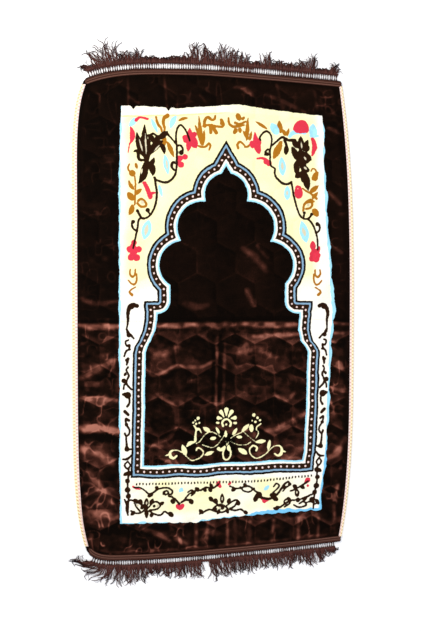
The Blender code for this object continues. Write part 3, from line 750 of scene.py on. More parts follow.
def drawPrint(x, y):
    # every dye's signed distance in millimetres, negative where that dye is
    dyes = ("inkDark", "inkRose", "inkSky", "inkTan", "inkPale", "inkCream")
    fields = {dye: np.full(x.shape, 20.0) for dye in dyes}
    ragged = 1.1 * softNoise(x, y, 9.0, 11)
    fromLeft = x - tableLine(panel["left"], y) - 1.6
    fromRight = tableLine(panel["right"], y) - x - 2.0
    notch = 7.5 * (hill(x + 197, 4.0) + hill(x + 113, 4.0)) + 2.0 * hill(x - 66, 6)
    fromTop = tableLine(panel["top"], x) - notch - y
    wave = panel["scallop"] * np.abs(np.sin(math.pi * (x + 6) / panel["scallopPitch"]))
    fromBottom = y - tableLine(panel["bottom"], x) + wave * softStep(-190, -60, x) - 1.0
    sideWave = 1.6 * np.sin(y / 21.0) + 1.4 * np.sin(y / 8.7)
    fields["panelEdge"] = -np.minimum.reduce([fromLeft + 0.4 * sideWave, fromRight + sideWave, fromTop,
                                              fromBottom]) + ragged
    upper = softStep(478, 440, y)
    skyLeft = fromLeft - upper * (3.4 + 1.4 * softNoise(x, y, 40, 3))
    skyRight = fromRight - softStep(440, 400, y) * (5.0 + 2.6 * softNoise(x, y, 46, 4)
                                                    + 2.0 * hill(y - 8, 60))
    skyBottom = fromBottom - (1.0 + 7.5 * softStep(70, 130, x) + 3.4 * softNoise(x, y, 24, 6))
    fields["skyEdge"] = np.minimum.reduce([skyLeft, skyRight, skyBottom]) + ragged
    deepRight = fromRight + 40 * softStep(-250, -300, -y) - 3.2 - 2.4 * softNoise(x, y, 38, 8)
    fields["skyDeep"] = np.minimum(deepRight + 40 * softStep(-330, -250, y),
                                   skyBottom + 40 * softStep(90, 60, x)) + ragged
    fields["pleatLine"] = np.abs(y - tableLine(panel["pleatLine"], x)) - 1.8 + 6.0 * softStep(0, 120, x)
    fields["archDepth"] = archDepth(x, y) + 0.35 * ragged
    beads = beadPlaces()
    gap = np.full(x.shape, 1e9)
    for bead in beads:
        gap = np.minimum(gap, (x - bead[0]) ** 2 + (y - bead[1]) ** 2)
    fields["beadEdge"] = np.sqrt(gap) - arch["beadRadius"]
    for motif in (waist, column):
        drawMotif(fields, x, y, motif, bold=0.5)
        drawMotif(fields, x, y, motif, flip=True, bold=0.5)
    for motif in (spandrelLeft, spandrelRight, garland, sprig):
        drawMotif(fields, x, y, motif)
    dashLine = np.interp(x, (-195, 20, 97, 242), (-409, -408, -408, -396))
    dash = np.maximum(np.abs((x + 195) % 7.8 - 3.9) - 1.1, np.abs(y - dashLine) - 2.3)
    dash = np.maximum(dash, np.abs(x - 24) - 219)
    fields["inkDark"] = np.minimum(fields["inkDark"], dash)
    # warmth: 1 where the ground is pale yellow, 0 where it is ivory
    upperWarm = softStep(40, 120, y) * softStep(-232, -200, x) * softStep(262, 236, x)
    belowPleat = softStep(2.5, -2.5, y - tableLine(panel["pleatLine"], x))
    lowerWarm = 0.8 * (hill(x + 120, 60) + hill(x + 10, 50) + hill(x - 140, 70)) * softStep(-490, -470, y)
    fields["warmth"] = np.clip(upperWarm + lowerWarm * softStep(-394, -404, y)
                               + 0.25 * softNoise(x, y, 30, 21), 0, 1)
    fields["warmth"] = fields["warmth"] * np.maximum(belowPleat, 0.30 + 0.60 * softStep(0, 120, x))
    return fields


print("stage: print set out")

# The ground: honeycomb quilting, folds and creases, in millimetres
quilt = {
    "cellWidth": 94.4,
    "rowPitch": 75.0,
    "origin": (50.7, -97.5),
    "seamHeight": 4.4,
    "crown": 4.2,
    "crownPower": 4.3,
    "crownReach": 44.0,
    "hexagonScale": 51.0,
    "edgeHeight": 4.0,
    "underside": 1.5,
    "inset": 1.5,
    "sideLedge": 16.4,
    "endLedge": 11.8,
    "roll": 13.0,
    "columns": 334,
    "rows": 288,
}

foldLine = ((-360, -18), (-158, -16), (-8, -13), (202, -10), (360, -18))

# Creases: (points, width, depth, painted sheen). A ridge has a negative depth, and the painted sheen is how
# much lighter the pile is drawn where it is brushed over towards the light, or painted shade below zero
creases = (
    (((-345, -17), (-158, -15), (-8, -12), (202, -9), (345, -17)), 4.0, 1.7, -0.30),
    (((-332, -24), (-285, -27), (-234, -26)), 6.5, -0.7, 0.80),
    (((-141, -23), (-90, -24), (-46, -21)), 6.0, -0.7, 0.72),
    (((-46, -24), (-20, -20), (6, -27), (24, -20), (48, -23)), 6.0, -0.5, 0.45),
    (((63, -20), (130, -24), (200, -23)), 6.0, -0.7, 0.66),
    (((292, -19), (335, -23)), 5.0, -0.5, 0.74),
    (((96, -52), (150, -50), (205, -46)), 5.0, -0.6, 0.48),
    (((295, -45), (334, -44)), 4.0, -0.4, 0.42),
    (((-169, -133), (-150, -145), (-122, -138), (-94, -124), (-37, -125), (-4, -111)), 4.0, -0.7, 0.42),
    (((-325, -151), (-281, -128), (-234, -98)), 6.0, -0.6, 0.48),
    (((-308, -165), (-284, -164)), 8.0, -0.3, 0.42),
    (((-325, -202), (-280, -200), (-239, -205)), 5.0, -0.7, 0.52),
    (((-327, -270), (-280, -272), (-235, -278)), 7.0, -0.9, 0.74),
    (((-322, -290), (-280, -292), (-238, -298)), 6.0, 0.9, -0.30),
    (((-323, -324), (-281, -329), (-249, -358)), 8.0, -0.7, 0.52),
    (((-305, -376), (-277, -419), (-249, -452)), 7.0, -0.7, 0.46),
    (((-323, -479), (-280, -478), (-240, -485)), 8.0, -0.6, 0.52),
    (((-300, -505), (-262, -520), (-200, -512)), 6.0, 0.8, -0.20),
    (((281, -354), (306, -335), (325, -306)), 7.0, -0.7, 0.54),
    (((288, -180), (322, -186)), 6.0, -0.6, 0.48),
    (((296, -451), (306, -422)), 5.0, -0.5, 0.40),
    (((290, -110), (318, -128)), 7.0, -0.5, 0.30),
    (((-141, -190), (-99, -224), (-94, -271)), 4.0, -0.6, 0.34),
    (((-94, -271), (-112, -296), (-160, -316)), 4.0, -0.5, 0.30),
    (((145, -193), (169, -208), (193, -194)), 5.0, -0.6, 0.42),
    (((169, -352), (218, -324)), 8.0, -0.7, 0.52),
    (((126, -284), (174, -270), (222, -242)), 6.0, -0.6, 0.45),
    (((-165, -312), (-127, -318)), 5.0, -0.5, 0.42),
    (((-160, -80), (-130, -92), (-98, -76)), 6.0, -0.5, 0.34),
    (((-98, -76), (-92, -118)), 3.0, -0.5, 0.34),
    (((60, -92), (110, -84), (150, -104)), 6.0, -0.5, 0.28),
    (((-4, -49), (-4, -130), (-6, -215)), 2.8, 0.8, -0.22),
    (((14, -50), (12, -130), (9, -215)), 3.0, 0.7, -0.22),
    (((5, -55), (4, -130), (2, -220)), 2.8, -0.5, 0.30),
    (((24, -60), (22, -140), (18, -230)), 3.0, -0.5, 0.26),
    (((-174, -520), (-140, -530), (-113, -546)), 5.0, -0.8, 0.42),
    (((-110, -512), (-96, -540), (-70, -556)), 5.0, -0.7, 0.32),
    (((-47, -505), (-47, -562)), 5.0, -0.9, 0.44),
    (((-18, -506), (-22, -562)), 4.0, -0.7, 0.36),
    (((30, -500), (30, -562)), 4.0, -0.8, 0.36),
    (((49, -500), (51, -562)), 4.0, -0.6, 0.26),
    (((87, -508), (84, -560)), 5.0, -0.8, 0.36),
    (((145, -506), (141, -558)), 5.0, -0.9, 0.46),
    (((208, -500), (206, -556)), 5.0, -0.9, 0.46),
    (((257, -502), (255, -552)), 4.0, -0.8, 0.38),
    (((296, -470), (300, -540)), 5.0, -0.7, 0.36),
    (((-209, 574), (-209, 500)), 3.0, -0.8, 0.22),
    (((-123, 574), (-116, 500)), 3.0, -0.8, 0.26),
    (((-205, 521), (-186, 508)), 4.0, -0.4, 0.26),
    (((-116, 537), (-93, 515)), 4.0, -0.4, 0.22),
    (((-37, 530), (-23, 514)), 3.4, -0.4, 0.24),
    (((48, 550), (70, 546), (91, 533)), 4.0, -0.5, 0.24),
    (((124, 534), (172, 516), (220, 493)), 4.0, -0.5, 0.24),
    (((150, 560), (156, 530)), 4.0, -0.4, 0.22),
    (((244, 545), (250, 500)), 4.0, -0.5, 0.20),
    (((278, 457), (312, 443)), 5.0, -0.5, 0.30),
    (((279, 300), (308, 272)), 5.0, -0.5, 0.34),
    (((284, 172), (313, 153)), 5.0, -0.5, 0.30),
    (((-325, 40), (-285, 28), (-238, 34)), 5.0, -0.5, 0.34),
    (((67, 161), (96, 142), (125, 109)), 6.0, -0.4, 0.36),
    (((104, 168), (128, 140)), 5.0, -0.4, 0.34),
    (((77, 62), (96, 24)), 7.0, -0.4, 0.40),
    (((-75, 29), (-46, 20), (-18, 24)), 6.0, -0.4, 0.22),
    (((-84, 315), (-60, 300)), 5.0, -0.3, 0.14),
    (((120, 330), (133, 300)), 3.0, -0.4, 0.20),
)

# Broad patches of painted sheen, where the pile lies brushed over towards the light: (x, y, radius across,
# radius along, painted sheen)
paintedSheenPatches = (
    (-285, -330, 40, 60, 0.20), (-285, -215, 40, 50, 0.12), (-280, -470, 45, 50, 0.14),
    (-120, -90, 55, 50, 0.16), (-120, -180, 50, 45, 0.10), (110, -80, 70, 40, 0.14),
    (170, -160, 50, 60, 0.10), (150, -330, 80, 40, 0.18), (-110, -340, 50, 30, 0.12),
    (300, -220, 30, 120, 0.10), (60, -520, 160, 30, 0.10), (95, 100, 50, 70, 0.12),
    (-40, 60, 50, 70, 0.06), (-60, 160, 60, 40, 0.05), (20, 240, 60, 60, 0.03),
    (-115, -10, 45, 20, -0.06), (318, 260, 30, 260, 0.10), (230, 540, 110, 36, 0.10),
    (-60, 545, 200, 26, 0.04),
    (60, -200, 40, 60, 0.08), (-280, -100, 45, 40, 0.10),
)


def seamGap(x, y):
    # distance to the stitched honeycomb: the nearer of two lattices of cell centres, then the
    # hexagon's walls about it
    across = (x - quilt["origin"][0]) * math.sqrt(3) / quilt["cellWidth"]
    along = (y - quilt["origin"][1]) * 1.5 / quilt["rowPitch"]
    wide, tall = math.sqrt(3), 3.0
    ax, ay = (across / wide + 0.5) % 1.0 - 0.5, (along / tall + 0.5) % 1.0 - 0.5
    bx, by = (across / wide) % 1.0 - 0.5, (along / tall) % 1.0 - 0.5
    ax, ay, bx, by = ax * wide, ay * tall, bx * wide, by * tall
    nearA = ax ** 2 + ay ** 2 < bx ** 2 + by ** 2
    hx, hy = np.abs(np.where(nearA, ax, bx)), np.abs(np.where(nearA, ay, by))
    return (math.sqrt(3) / 2 - np.maximum(hx, hx / 2 + hy * math.sqrt(3) / 2)) * quilt["hexagonScale"]


def relief(x, y):
    # height = seam + crown * (1 - (1 - gap / reach) ^ power), less each crease's bell, and the pile's painted
    # sheen
    wander = 3.0 * softNoise(x, y, 45.0, 31)
    gap = seamGap(x + wander, y + 3.0 * softNoise(x, y, 52.0, 32))
    share = np.clip(gap / quilt["crownReach"], 0.0, 1.0)
    lower = softStep(-4, -34, y)
    crumple = softNoise(x, y, 26.0, 41) * 0.6 + softNoise(x, y, 12.0, 42) * 0.4
    height = quilt["seamHeight"] + quilt["crown"] * (1 - (1 - share) ** quilt["crownPower"])
    height = height - 0.4 + (0.35 + 0.55 * lower) * crumple * share ** 0.5
    paintedSheen = 0.03 + 0.05 * lower
    # painted sheen on the rucks of the laid pile: a saw of a wandering height, painted bright up to each
    # sharp edge
    drift = softNoise(x, y, 62.0, 57)
    paintedRuckSheen = (0.75 * softNoise(x + 20 * drift, y * 1.2, 44.0, 59) + 0.30 * softNoise(x, y, 21.0, 63)
            + 0.024 * y + 0.007 * x)
    paintedRuckSheen = paintedRuckSheen - np.floor(paintedRuckSheen)
    paintedRuckSheen = paintedRuckSheen ** 2.0 * softStep(1.0, 0.88, paintedRuckSheen) * softStep(-0.30, 0.50, softNoise(x, y * 1.5, 42.0, 60))
    paintedSheen = paintedSheen + (0.05 + 0.27 * lower * softStep(-516, -496, y)) * paintedRuckSheen
    # painted sheen on thin curling wrinkles: bells along the zero lines of two wandering heights
    thin = hill(softNoise(x + 8 * drift, y * 0.7, 15.0, 71), 0.15)
    wide = hill(softNoise(x, y * 1.3, 24.0, 73), 0.10)
    paintedCurlSheen = thin * softStep(-0.05, 0.45, softNoise(x, y, 27.0, 72))
    paintedCurlSheen = paintedCurlSheen + 0.6 * wide * softStep(0.0, 0.5, softNoise(x, y, 40.0, 74))
    margins = softStep(230, 262, np.abs(x - 10)) + softStep(-496, -512, y) + softStep(488, 505, y)
    paintedSheen = paintedSheen + (0.05 + 0.09 * lower + 0.14 * lower * margins + 0.12 * margins) * paintedCurlSheen
    # broad patches of painted sheen
    for cx, cy, rx, ry, amount in paintedSheenPatches:
        paintedSheen = paintedSheen + amount * np.exp(-((x - cx) / rx) ** 2 - ((y - cy) / ry) ** 2)
    # random blotches and streaks in the painted sheen
    streak = softNoise(x * 0.8 + y * 0.5, y - x * 0.3, 9.0, 51)
    blotch = softNoise(x, y, 20.0, 52) + 0.5 * softNoise(x, y, 9.0, 53)
    paintedSheen = paintedSheen + (0.02 + 0.07 * lower) * blotch + (0.02 + 0.06 * lower) * streak
    # painted sheen along the quilting seams
    paintedSeamSheen = hill(gap, 2.2) * np.clip(0.30 + 1.2 * softNoise(x, y, 34.0, 54), 0, 1)
    paintedSheen = paintedSheen + paintedSeamSheen * (0.12 + 0.02 * lower)
    for points, width, depth, paintedCreaseSheen in creases:
        field = np.full(x.shape, 40.0)
        brush(field, x, y, smoothPath(points, 6) if len(points) > 2 else points, (1.0, width * 1.2, 1.0))
        reachOut = hill(np.maximum(field, 0.0), width)
        broken = 0.72 + 0.45 * softNoise(x, y, 13.0, 61)
        height = height - depth * reachOut * (0.8 + 0.3 * softNoise(x, y, 22.0, 62))
        # each crease paints sheen along its ridge, or painted shade in its trough where the value is below
        # zero
        paintedSheen = paintedSheen + paintedCreaseSheen * reachOut * broken
    return height, paintedSheen


def velvetHalf(end):
    # rows run between the fold line and the end, columns between the two sides, each line
    # shared out evenly and settled in a few turns, as both edges bow
    rows, columns, inset = quilt["rows"], quilt["columns"], quilt["inset"] / 1000
    u, v = np.meshgrid(np.linspace(0, 1, columns + 1), np.linspace(0, 1, rows + 1))
    x, y = (u - 0.5) * 0.68, (v - 0.5) * 0.6 + (0.3 if end == "Top" else -0.3)
    for _ in range(8):
        fold = tableLine(foldLine, x * 1000) / 1000
        rim = endY(end, x) - (inset if end == "Top" else -inset)
        y = fold + v * (rim - fold) if end == "Top" else rim + v * (fold - rim)
        left, right = sideX("left", y) + inset, sideX("right", y) - inset
        x = left + u * (right - left)
    mx, my = x * 1000, y * 1000
    height, paintedSheen = relief(mx, my)
    sideGap = np.minimum(x - sideX("left", y), sideX("right", y) - x) * 1000
    endGap = np.abs(endY(end, x) - y) * 1000
    rise = (softStep(0, quilt["roll"], sideGap - quilt["sideLedge"])
            * softStep(0, quilt["roll"], endGap - quilt["endLedge"]))
    height = quilt["edgeHeight"] + (height - quilt["edgeHeight"]) * rise
    # painted sheen from the slope: pile on ground that tips towards the foot of the rug is drawn lighter, as
    # if it catches the light, and darker where it tips away; its sideways tilt adds a little
    down = np.gradient(height, axis=0) / np.gradient(my, axis=0)
    tilt = np.gradient(height, axis=1) / np.gradient(mx, axis=1)
    lower = softStep(0, -40, my)
    paintedSheen = paintedSheen + (0.16 + 0.56 * lower) * np.clip(down, -0.15, 0.4) + 0.12 * np.clip(tilt, -0.3, 0.3)
    # painted shade: the sheen is dimmed where the velvet drops to its edges
    paintedSheen = paintedSheen * (0.55 + 0.45 * rise)
    fields = drawPrint(mx.ravel(), my.ravel())
    fields["paintedSheenLevel"] = np.clip(paintedSheen, 0.0, 1.0).ravel()
    return np.stack([x, y, height / 1000], -1), fields


def closedSlab(name, top, underside, materials, attributes):
    # the grid, a wall dropped from its rim to the underside's height, and one flat face below
    rows, columns = top.shape[:2]
    index = np.arange(rows * columns).reshape(rows, columns)
    loop = np.concatenate([index[0, :-1], index[:-1, -1], index[-1, :0:-1], index[:0:-1, 0]])
    points = top.reshape(-1, 3)
    low = points[loop].copy()
    low[:, 2] = underside
    under = np.arange(len(loop)) + len(points)
    wall = np.stack([loop, under, np.roll(under, -1), np.roll(loop, -1)], -1)
    values = {key: np.concatenate([value, value[loop]]) for key, value in attributes.items()}
    piece = addPiece(name, np.vstack([points, low]), gridFaces(rows, columns), materials,
                     wall.tolist() + [under[::-1].tolist()], len(wall) + 1, values)
    piece.data.polygons[len(piece.data.polygons) - 1].material_index = 1
    return piece


# printed polyester velvet: a short dense pile, near black where it stands up, with painted pinkish
# brown sheen where it is brushed over and catches the light, and bright dyes that fray a little at their
# edges
velvet = {
    # the pile's ramp: near black, up to the painted pinkish brown sheen
    "pile": ((0.00, "080402"), (0.16, "160a05"), (0.38, "371c14"), (0.62, "6c3e31"), (1.00, "a76b59")),
    "cream": "fdf6bd",
    "ivory": "fffbec",
    "sky": "a6e2f5",
    "skyDeep": "7cc8ee",
    "line": "150c06",
    "beadGround": "2c1a0d",
    "bead": "f7dcd0",
    "bandBlue": "86abc4",
    "rose": "da384b",
    "tan": "ab6f1c",
    "ink": "2a170a",
    "pale": "d9cfae",
    "pleat": "efe2a4",
    "grainMm": 2.4,
}

pileCloth, pileTree, pileShader = newMaterial("printed_velvet_pile", {
    "Roughness": 0.9, "Specular IOR Level": 0.03, "Sheen Weight": 0.03, "Sheen Roughness": 0.35,
    "Sheen Tint": hexColour("a8705c")})
place = addNode(pileTree, "ShaderNodeTexCoord").outputs["Object"]
# the real pile is about 0.3 mm thick a tuft, too fine to show, so its grain is drawn at 2.4 mm
grain = addNode(pileTree, "ShaderNodeTexNoise", inputs={"Scale": 1000 / velvet["grainMm"], "Detail": 3.0},
                links={"Vector": place})
bleed = addNode(pileTree, "ShaderNodeTexNoise", inputs={"Scale": 1000 / 5.0, "Detail": 2.0},
                links={"Vector": place})
fray = addNode(pileTree, "ShaderNodeMapRange", inputs={"To Min": -1.3, "To Max": 1.3},
               links={"Value": bleed.outputs["Fac"]}).outputs["Result"]


def dyed(tree, ground, field, edge, colour, soft=0.55):
    # the colour lies where the field, roughened by the fray, is below the edge, over a soft border
    level = addNode(tree, "ShaderNodeAttribute", {"attribute_name": field}).outputs["Fac"]
    rough = addNode(tree, "ShaderNodeMath", {"operation": "ADD"}, links={0: level, 1: fray})
    share = addNode(tree, "ShaderNodeMapRange", {"interpolation_type": "SMOOTHSTEP"},
                    {"From Min": edge + soft, "From Max": edge - soft}, {"Value": rough.outputs[0]})
    mix = addNode(tree, "ShaderNodeMix", {"data_type": "RGBA"}, links={"Factor": share.outputs["Result"]})
    for key, value in ((6, ground), (7, colour)):
        if isinstance(value, str):
            mix.inputs[key].default_value = hexColour(value)
        else:
            tree.links.new(value, mix.inputs[key])
    return mix.outputs[2]


# the painted sheen of the pile, with its grain added, picks its colour on the ramp
paintedSheenInput = addNode(pileTree, "ShaderNodeAttribute", {"attribute_name": "paintedSheenLevel"}).outputs["Fac"]
paintedSheenLevel = addNode(pileTree, "ShaderNodeMath", {"operation": "MULTIPLY_ADD"}, {1: 0.16},
              {0: grain.outputs["Fac"], 2: paintedSheenInput})
pileRamp = addNode(pileTree, "ShaderNodeValToRGB", links={"Fac": paintedSheenLevel.outputs[0]})
stops = pileRamp.color_ramp.elements
for _ in velvet["pile"][2:]:
    stops.new(0.5)
for stop, (position, code) in zip(stops, velvet["pile"]):
    stop.position = position + 0.08
    stop.color = hexColour(code)
pile = pileRamp.outputs["Color"]
warmth = addNode(pileTree, "ShaderNodeAttribute", {"attribute_name": "warmth"}).outputs["Fac"]
ground = addNode(pileTree, "ShaderNodeMix", {"data_type": "RGBA"},
                 {6: hexColour(velvet["ivory"]), 7: hexColour(velvet["cream"])},
                 {"Factor": warmth}).outputs[2]
for field, edge, colour in (
    ("pleatLine", 0.0, velvet["pleat"]),
    ("skyEdge", 0.0, velvet["sky"]),
    ("skyDeep", 0.0, velvet["skyDeep"]),
    ("inkTan", 0.7, velvet["tan"]),
    ("inkSky", 0.0, velvet["sky"]),
    ("inkRose", 0.0, velvet["rose"]),
    ("inkDark", 0.8, velvet["ink"]),
    ("inkPale", 0.0, velvet["pale"]),
    ("archDepth", 0.0, velvet["line"]),
    ("archDepth", -5.0, velvet["bandBlue"]),
    ("archDepth", -9.2, velvet["beadGround"]),
    ("beadEdge", 0.0, velvet["bead"]),
    ("archDepth", -22.4, velvet["ivory"]),
    ("archDepth", -26.8, velvet["sky"]),
    ("archDepth", -31.0, pile),
    ("inkCream", -0.7, velvet["cream"]),
):
    ground = dyed(pileTree, ground, field, edge, colour)
shaded = addNode(pileTree, "ShaderNodeMix", {"data_type": "RGBA", "blend_type": "MULTIPLY"},
                 {"Factor": 0.35}, {6: ground}).outputs[2]
pileTone = addNode(pileTree, "ShaderNodeMapRange",
                   inputs={"From Min": 0.25, "From Max": 0.7, "To Min": 0.55},
                   links={"Value": grain.outputs["Fac"]})
pileTree.links.new(pileTone.outputs["Result"], shaded.node.inputs[7])
face = dyed(pileTree, pile, "panelEdge", 0.0, shaded)
pileTree.links.new(face, pileShader.inputs["Base Color"])
pileBump = addNode(pileTree, "ShaderNodeBump", inputs={"Strength": 0.35, "Distance": 0.0006},
                   links={"Height": grain.outputs["Fac"]})
pileTree.links.new(pileBump.outputs["Normal"], pileShader.inputs["Normal"])

# plain-woven polyester backing: dull brown cloth, its threads just showing
backing, backingTree, backingShader = newMaterial("plain_woven_backing", {"Roughness": 0.88,
                                                                         "Specular IOR Level": 0.25})
backPlace = addNode(backingTree, "ShaderNodeTexCoord").outputs["Object"]
threads = []
threadGap = 0.0016  # threads 0.5 mm apart are too fine to show, so they are drawn 1.6 mm apart
for axis in ("X", "Y"):
    threads.append(addNode(backingTree, "ShaderNodeTexWave", {"bands_direction": axis},
                           {"Scale": 2 * math.pi / (20 * threadGap), "Distortion": 0.6},
                           {"Vector": backPlace}))
weave = addNode(backingTree, "ShaderNodeMath", {"operation": "MULTIPLY"},
                links={0: threads[0].outputs["Fac"], 1: threads[1].outputs["Fac"]})
backTint = addNode(backingTree, "ShaderNodeMix", {"data_type": "RGBA"},
                   {6: hexColour("2c1c16"), 7: hexColour("4b3328")}, {"Factor": weave.outputs[0]})
backingTree.links.new(backTint.outputs[2], backingShader.inputs["Base Color"])
backBump = addNode(backingTree, "ShaderNodeBump", inputs={"Strength": 0.4, "Distance": 0.0003},
                   links={"Height": weave.outputs[0]})
backingTree.links.new(backBump.outputs["Normal"], backingShader.inputs["Normal"])

velvetPieces = {}
for end in ("Top", "Bottom"):
    points, fields = velvetHalf(end)
    velvetPieces[end] = closedSlab("velvet" + end, points, quilt["underside"] / 1000,
                                   [pileCloth, backing], fields)
    print("stage: velvet towards the", end.lower(), "end,", len(velvetPieces[end].data.polygons), "faces")


def sweptPiece(name, outward, height, placer, materials, attributes):
    # a closed section carried along an edge: outward and height are its points' millimetres from
    # the edge and the floor at each station, placer turns outward into x and y, both ends are filled
    x, y = placer(outward)
    points = np.stack([x, y, height / 1000], -1)
    stations, count = outward.shape
    quads = gridFaces(stations, count, closed=True)
    ends = [list(range(count))[::-1], list(range((stations - 1) * count, stations * count))]
    a, b, c = points[0, 0], points[0, 1], points[1, 0]
    volume = np.cross(b - a, c - a) @ (points[0, 0] - points[0].mean(0))
    if volume < 0:
        quads, ends = quads[:, ::-1], [face[::-1] for face in ends]
    return addPiece(name, points.reshape(-1, 3), quads, materials, ends, 2,
                    {key: value.ravel() for key, value in attributes.items()})


binding = {
    "pitch": 8.2,
    "step": 1.0,
    "skin": 1.2,
    "stop": 0.0113,
    "left": {"widths": ((-560, 9), (-500, 10), (-430, 12.5), (-300, 13.5), (300, 13.5), (480, 12), (555, 10)),
             "twist": ((-560, 1.0), (-470, 1.0), (-400, 0.25), (-300, 0.0), (555, 0.0))},
    "right": {"widths": ((-560, 8), (-430, 9), (-200, 10.5), (200, 10.5), (420, 9.5), (560, 8)),
              "twist": ((-560, 0.4), (-400, 0.0), (555, 0.0))},
}

# spun polyester overlock thread: soft cream rows with gold and rosy loops, slightly shiny
overlock, overTree, overShader = newMaterial("spun_overlock_thread", {
    "Roughness": 0.62, "Specular IOR Level": 0.35, "Sheen Weight": 0.15})
overPlace = addNode(overTree, "ShaderNodeTexCoord").outputs["Object"]
fibre = addNode(overTree, "ShaderNodeTexNoise", inputs={"Scale": 900.0, "Detail": 2.0},
                links={"Vector": overPlace})
innerHalf = addNode(overTree, "ShaderNodeAttribute", {"attribute_name": "inner"}).outputs["Fac"]
overTone = addNode(overTree, "ShaderNodeMix", {"data_type": "RGBA"},
                   {6: hexColour("fff1c6"), 7: hexColour("fbe4dc")}, {"Factor": innerHalf})
for field, code in (("gold", "c2904c"), ("rosy", "b97a66"), ("shadow", "2a1712")):
    level = addNode(overTree, "ShaderNodeAttribute", {"attribute_name": field}).outputs["Fac"]
    overTone = addNode(overTree, "ShaderNodeMix", {"data_type": "RGBA"}, {7: hexColour(code)},
                       {"Factor": level, 6: overTone.outputs[2]})
overTree.links.new(overTone.outputs[2], overShader.inputs["Base Color"])
overBump = addNode(overTree, "ShaderNodeBump", inputs={"Strength": 0.3, "Distance": 0.0003},
                   links={"Height": fibre.outputs["Fac"]})
overTree.links.new(overBump.outputs["Normal"], overShader.inputs["Normal"])


def bindingPiece(side):
    # a C round the edge: two rows of puffed loops on top, alternating at each pitch, then a round
    # lip, the underside, and back along the skin's inner face
    low, high = corners[side + "Bottom"][1] + binding["stop"], corners[side + "Top"][1] - binding["stop"]
    along = np.linspace(low, high, int((high - low) * 1000 / binding["step"]))[:, None]
    width = tableLine(binding[side]["widths"], along * 1000)
    twist = tableLine(binding[side]["twist"], along * 1000)
    share = np.linspace(1.0, 0.17, 15)[None, :]
    run = along * 1000 / binding["pitch"] + twist * share * 1.2
    innerLoop = (0.5 + 0.5 * np.cos(2 * math.pi * (run + 0.5))) ** 1.6
    outerLoop = (0.5 + 0.5 * np.cos(2 * math.pi * run)) ** 1.6
    innerRow, outerRow = hill(share - 0.76, 0.20), hill(share - 0.32, 0.22)
    topZ = 4.9 + 0.55 * innerRow * (0.55 + 0.45 * innerLoop) + 0.75 * outerRow * (0.55 + 0.45 * outerLoop)
    topZ = topZ + 0.22 * np.cos(2 * math.pi * (run * 3 + share * 2.0))
    turn = np.radians(np.linspace(75, -90, 8))[None, :]
    lip = 2.75 + 0.12 * np.cos(2 * math.pi * run[:, -1:] * 2)
    ones = np.ones_like(along)
    outward = np.hstack([-width * share, -2.75 + lip * np.cos(turn), -width * 0.6, -width,
                         -width, -binding["skin"] * ones, -binding["skin"] * ones, -width])
    height = np.hstack([topZ, 2.75 + 2.75 * np.sin(turn) * ones, 0.0 * ones, 0.0 * ones, 1.2 * ones,
                        1.2 * ones, 4.3 * ones, 4.3 * ones])
    away = 1.0 if side == "right" else -1.0

    def placer(out):
        # the side's line at each station, moved away from the rug's middle by out
        return sideX(side, along) + away * out / 1000, along + 0 * out

    blank = np.zeros((len(along), outward.shape[1] - 15))
    edgeGlow = np.zeros_like(blank)
    edgeGlow[:, :8] = 0.4 * (0.5 + 0.5 * np.cos(2 * math.pi * run[:, -1:] + 0.6))
    gold = np.hstack([outerRow * outerLoop * 0.85 * ones + twist * 0.3 * outerLoop, edgeGlow])
    rosy = np.hstack([innerRow * innerLoop * 0.8 * ones, blank])
    inner = np.hstack([softStep(0.45, 0.65, share) * ones, blank])
    shadow = np.hstack([hill(1.0 - share, 0.03) * 0.8 * ones, blank])
    return sweptPiece("sideBinding" + side.capitalize(), outward, height, placer, [overlock],
                      {"gold": gold, "rosy": rosy, "inner": inner, "shadow": shadow})


bindings = {side: bindingPiece(side) for side in sides}
print("stage: side bindings")

heading = {
    "width": 13.4,
    "step": 1.1,
    "ribs": (-10.6, -5.6),
    "rounds": {"Top": (9.0, 6.5), "Bottom": (12.0, 4.0)},
    "ribPitch": 3.4,
}

# warp-faced braid tape: dull reddish brown, two rope-like ribs with painted highlights, and painted shade
# along its edges and lip
tape, tapeTree, tapeShader = newMaterial("woven_braid_tape", {
    "Roughness": 0.85, "Specular IOR Level": 0.05})
tapePlace = addNode(tapeTree, "ShaderNodeTexCoord").outputs["Object"]
tapeGrain = addNode(tapeTree, "ShaderNodeTexNoise", inputs={"Scale": 420.0, "Detail": 3.0},
                    links={"Vector": tapePlace})
tapeTone = addNode(tapeTree, "ShaderNodeMix", {"data_type": "RGBA"},
                   {6: hexColour("24110b"), 7: hexColour("55342a")}, {"Factor": tapeGrain.outputs["Fac"]})
# painted highlight on the ribs, and painted shade along the rim
for field, code in (("rib", "8b6455"), ("rim", "150906")):
    level = addNode(tapeTree, "ShaderNodeAttribute", {"attribute_name": field}).outputs["Fac"]
    tapeTone = addNode(tapeTree, "ShaderNodeMix", {"data_type": "RGBA"}, {7: hexColour(code)},
                       {"Factor": level, 6: tapeTone.outputs[2]})
tapeTree.links.new(tapeTone.outputs[2], tapeShader.inputs["Base Color"])
tapeBump = addNode(tapeTree, "ShaderNodeBump", inputs={"Strength": 0.4, "Distance": 0.0004},
                   links={"Height": tapeGrain.outputs["Fac"]})
tapeTree.links.new(tapeBump.outputs["Normal"], tapeShader.inputs["Normal"])


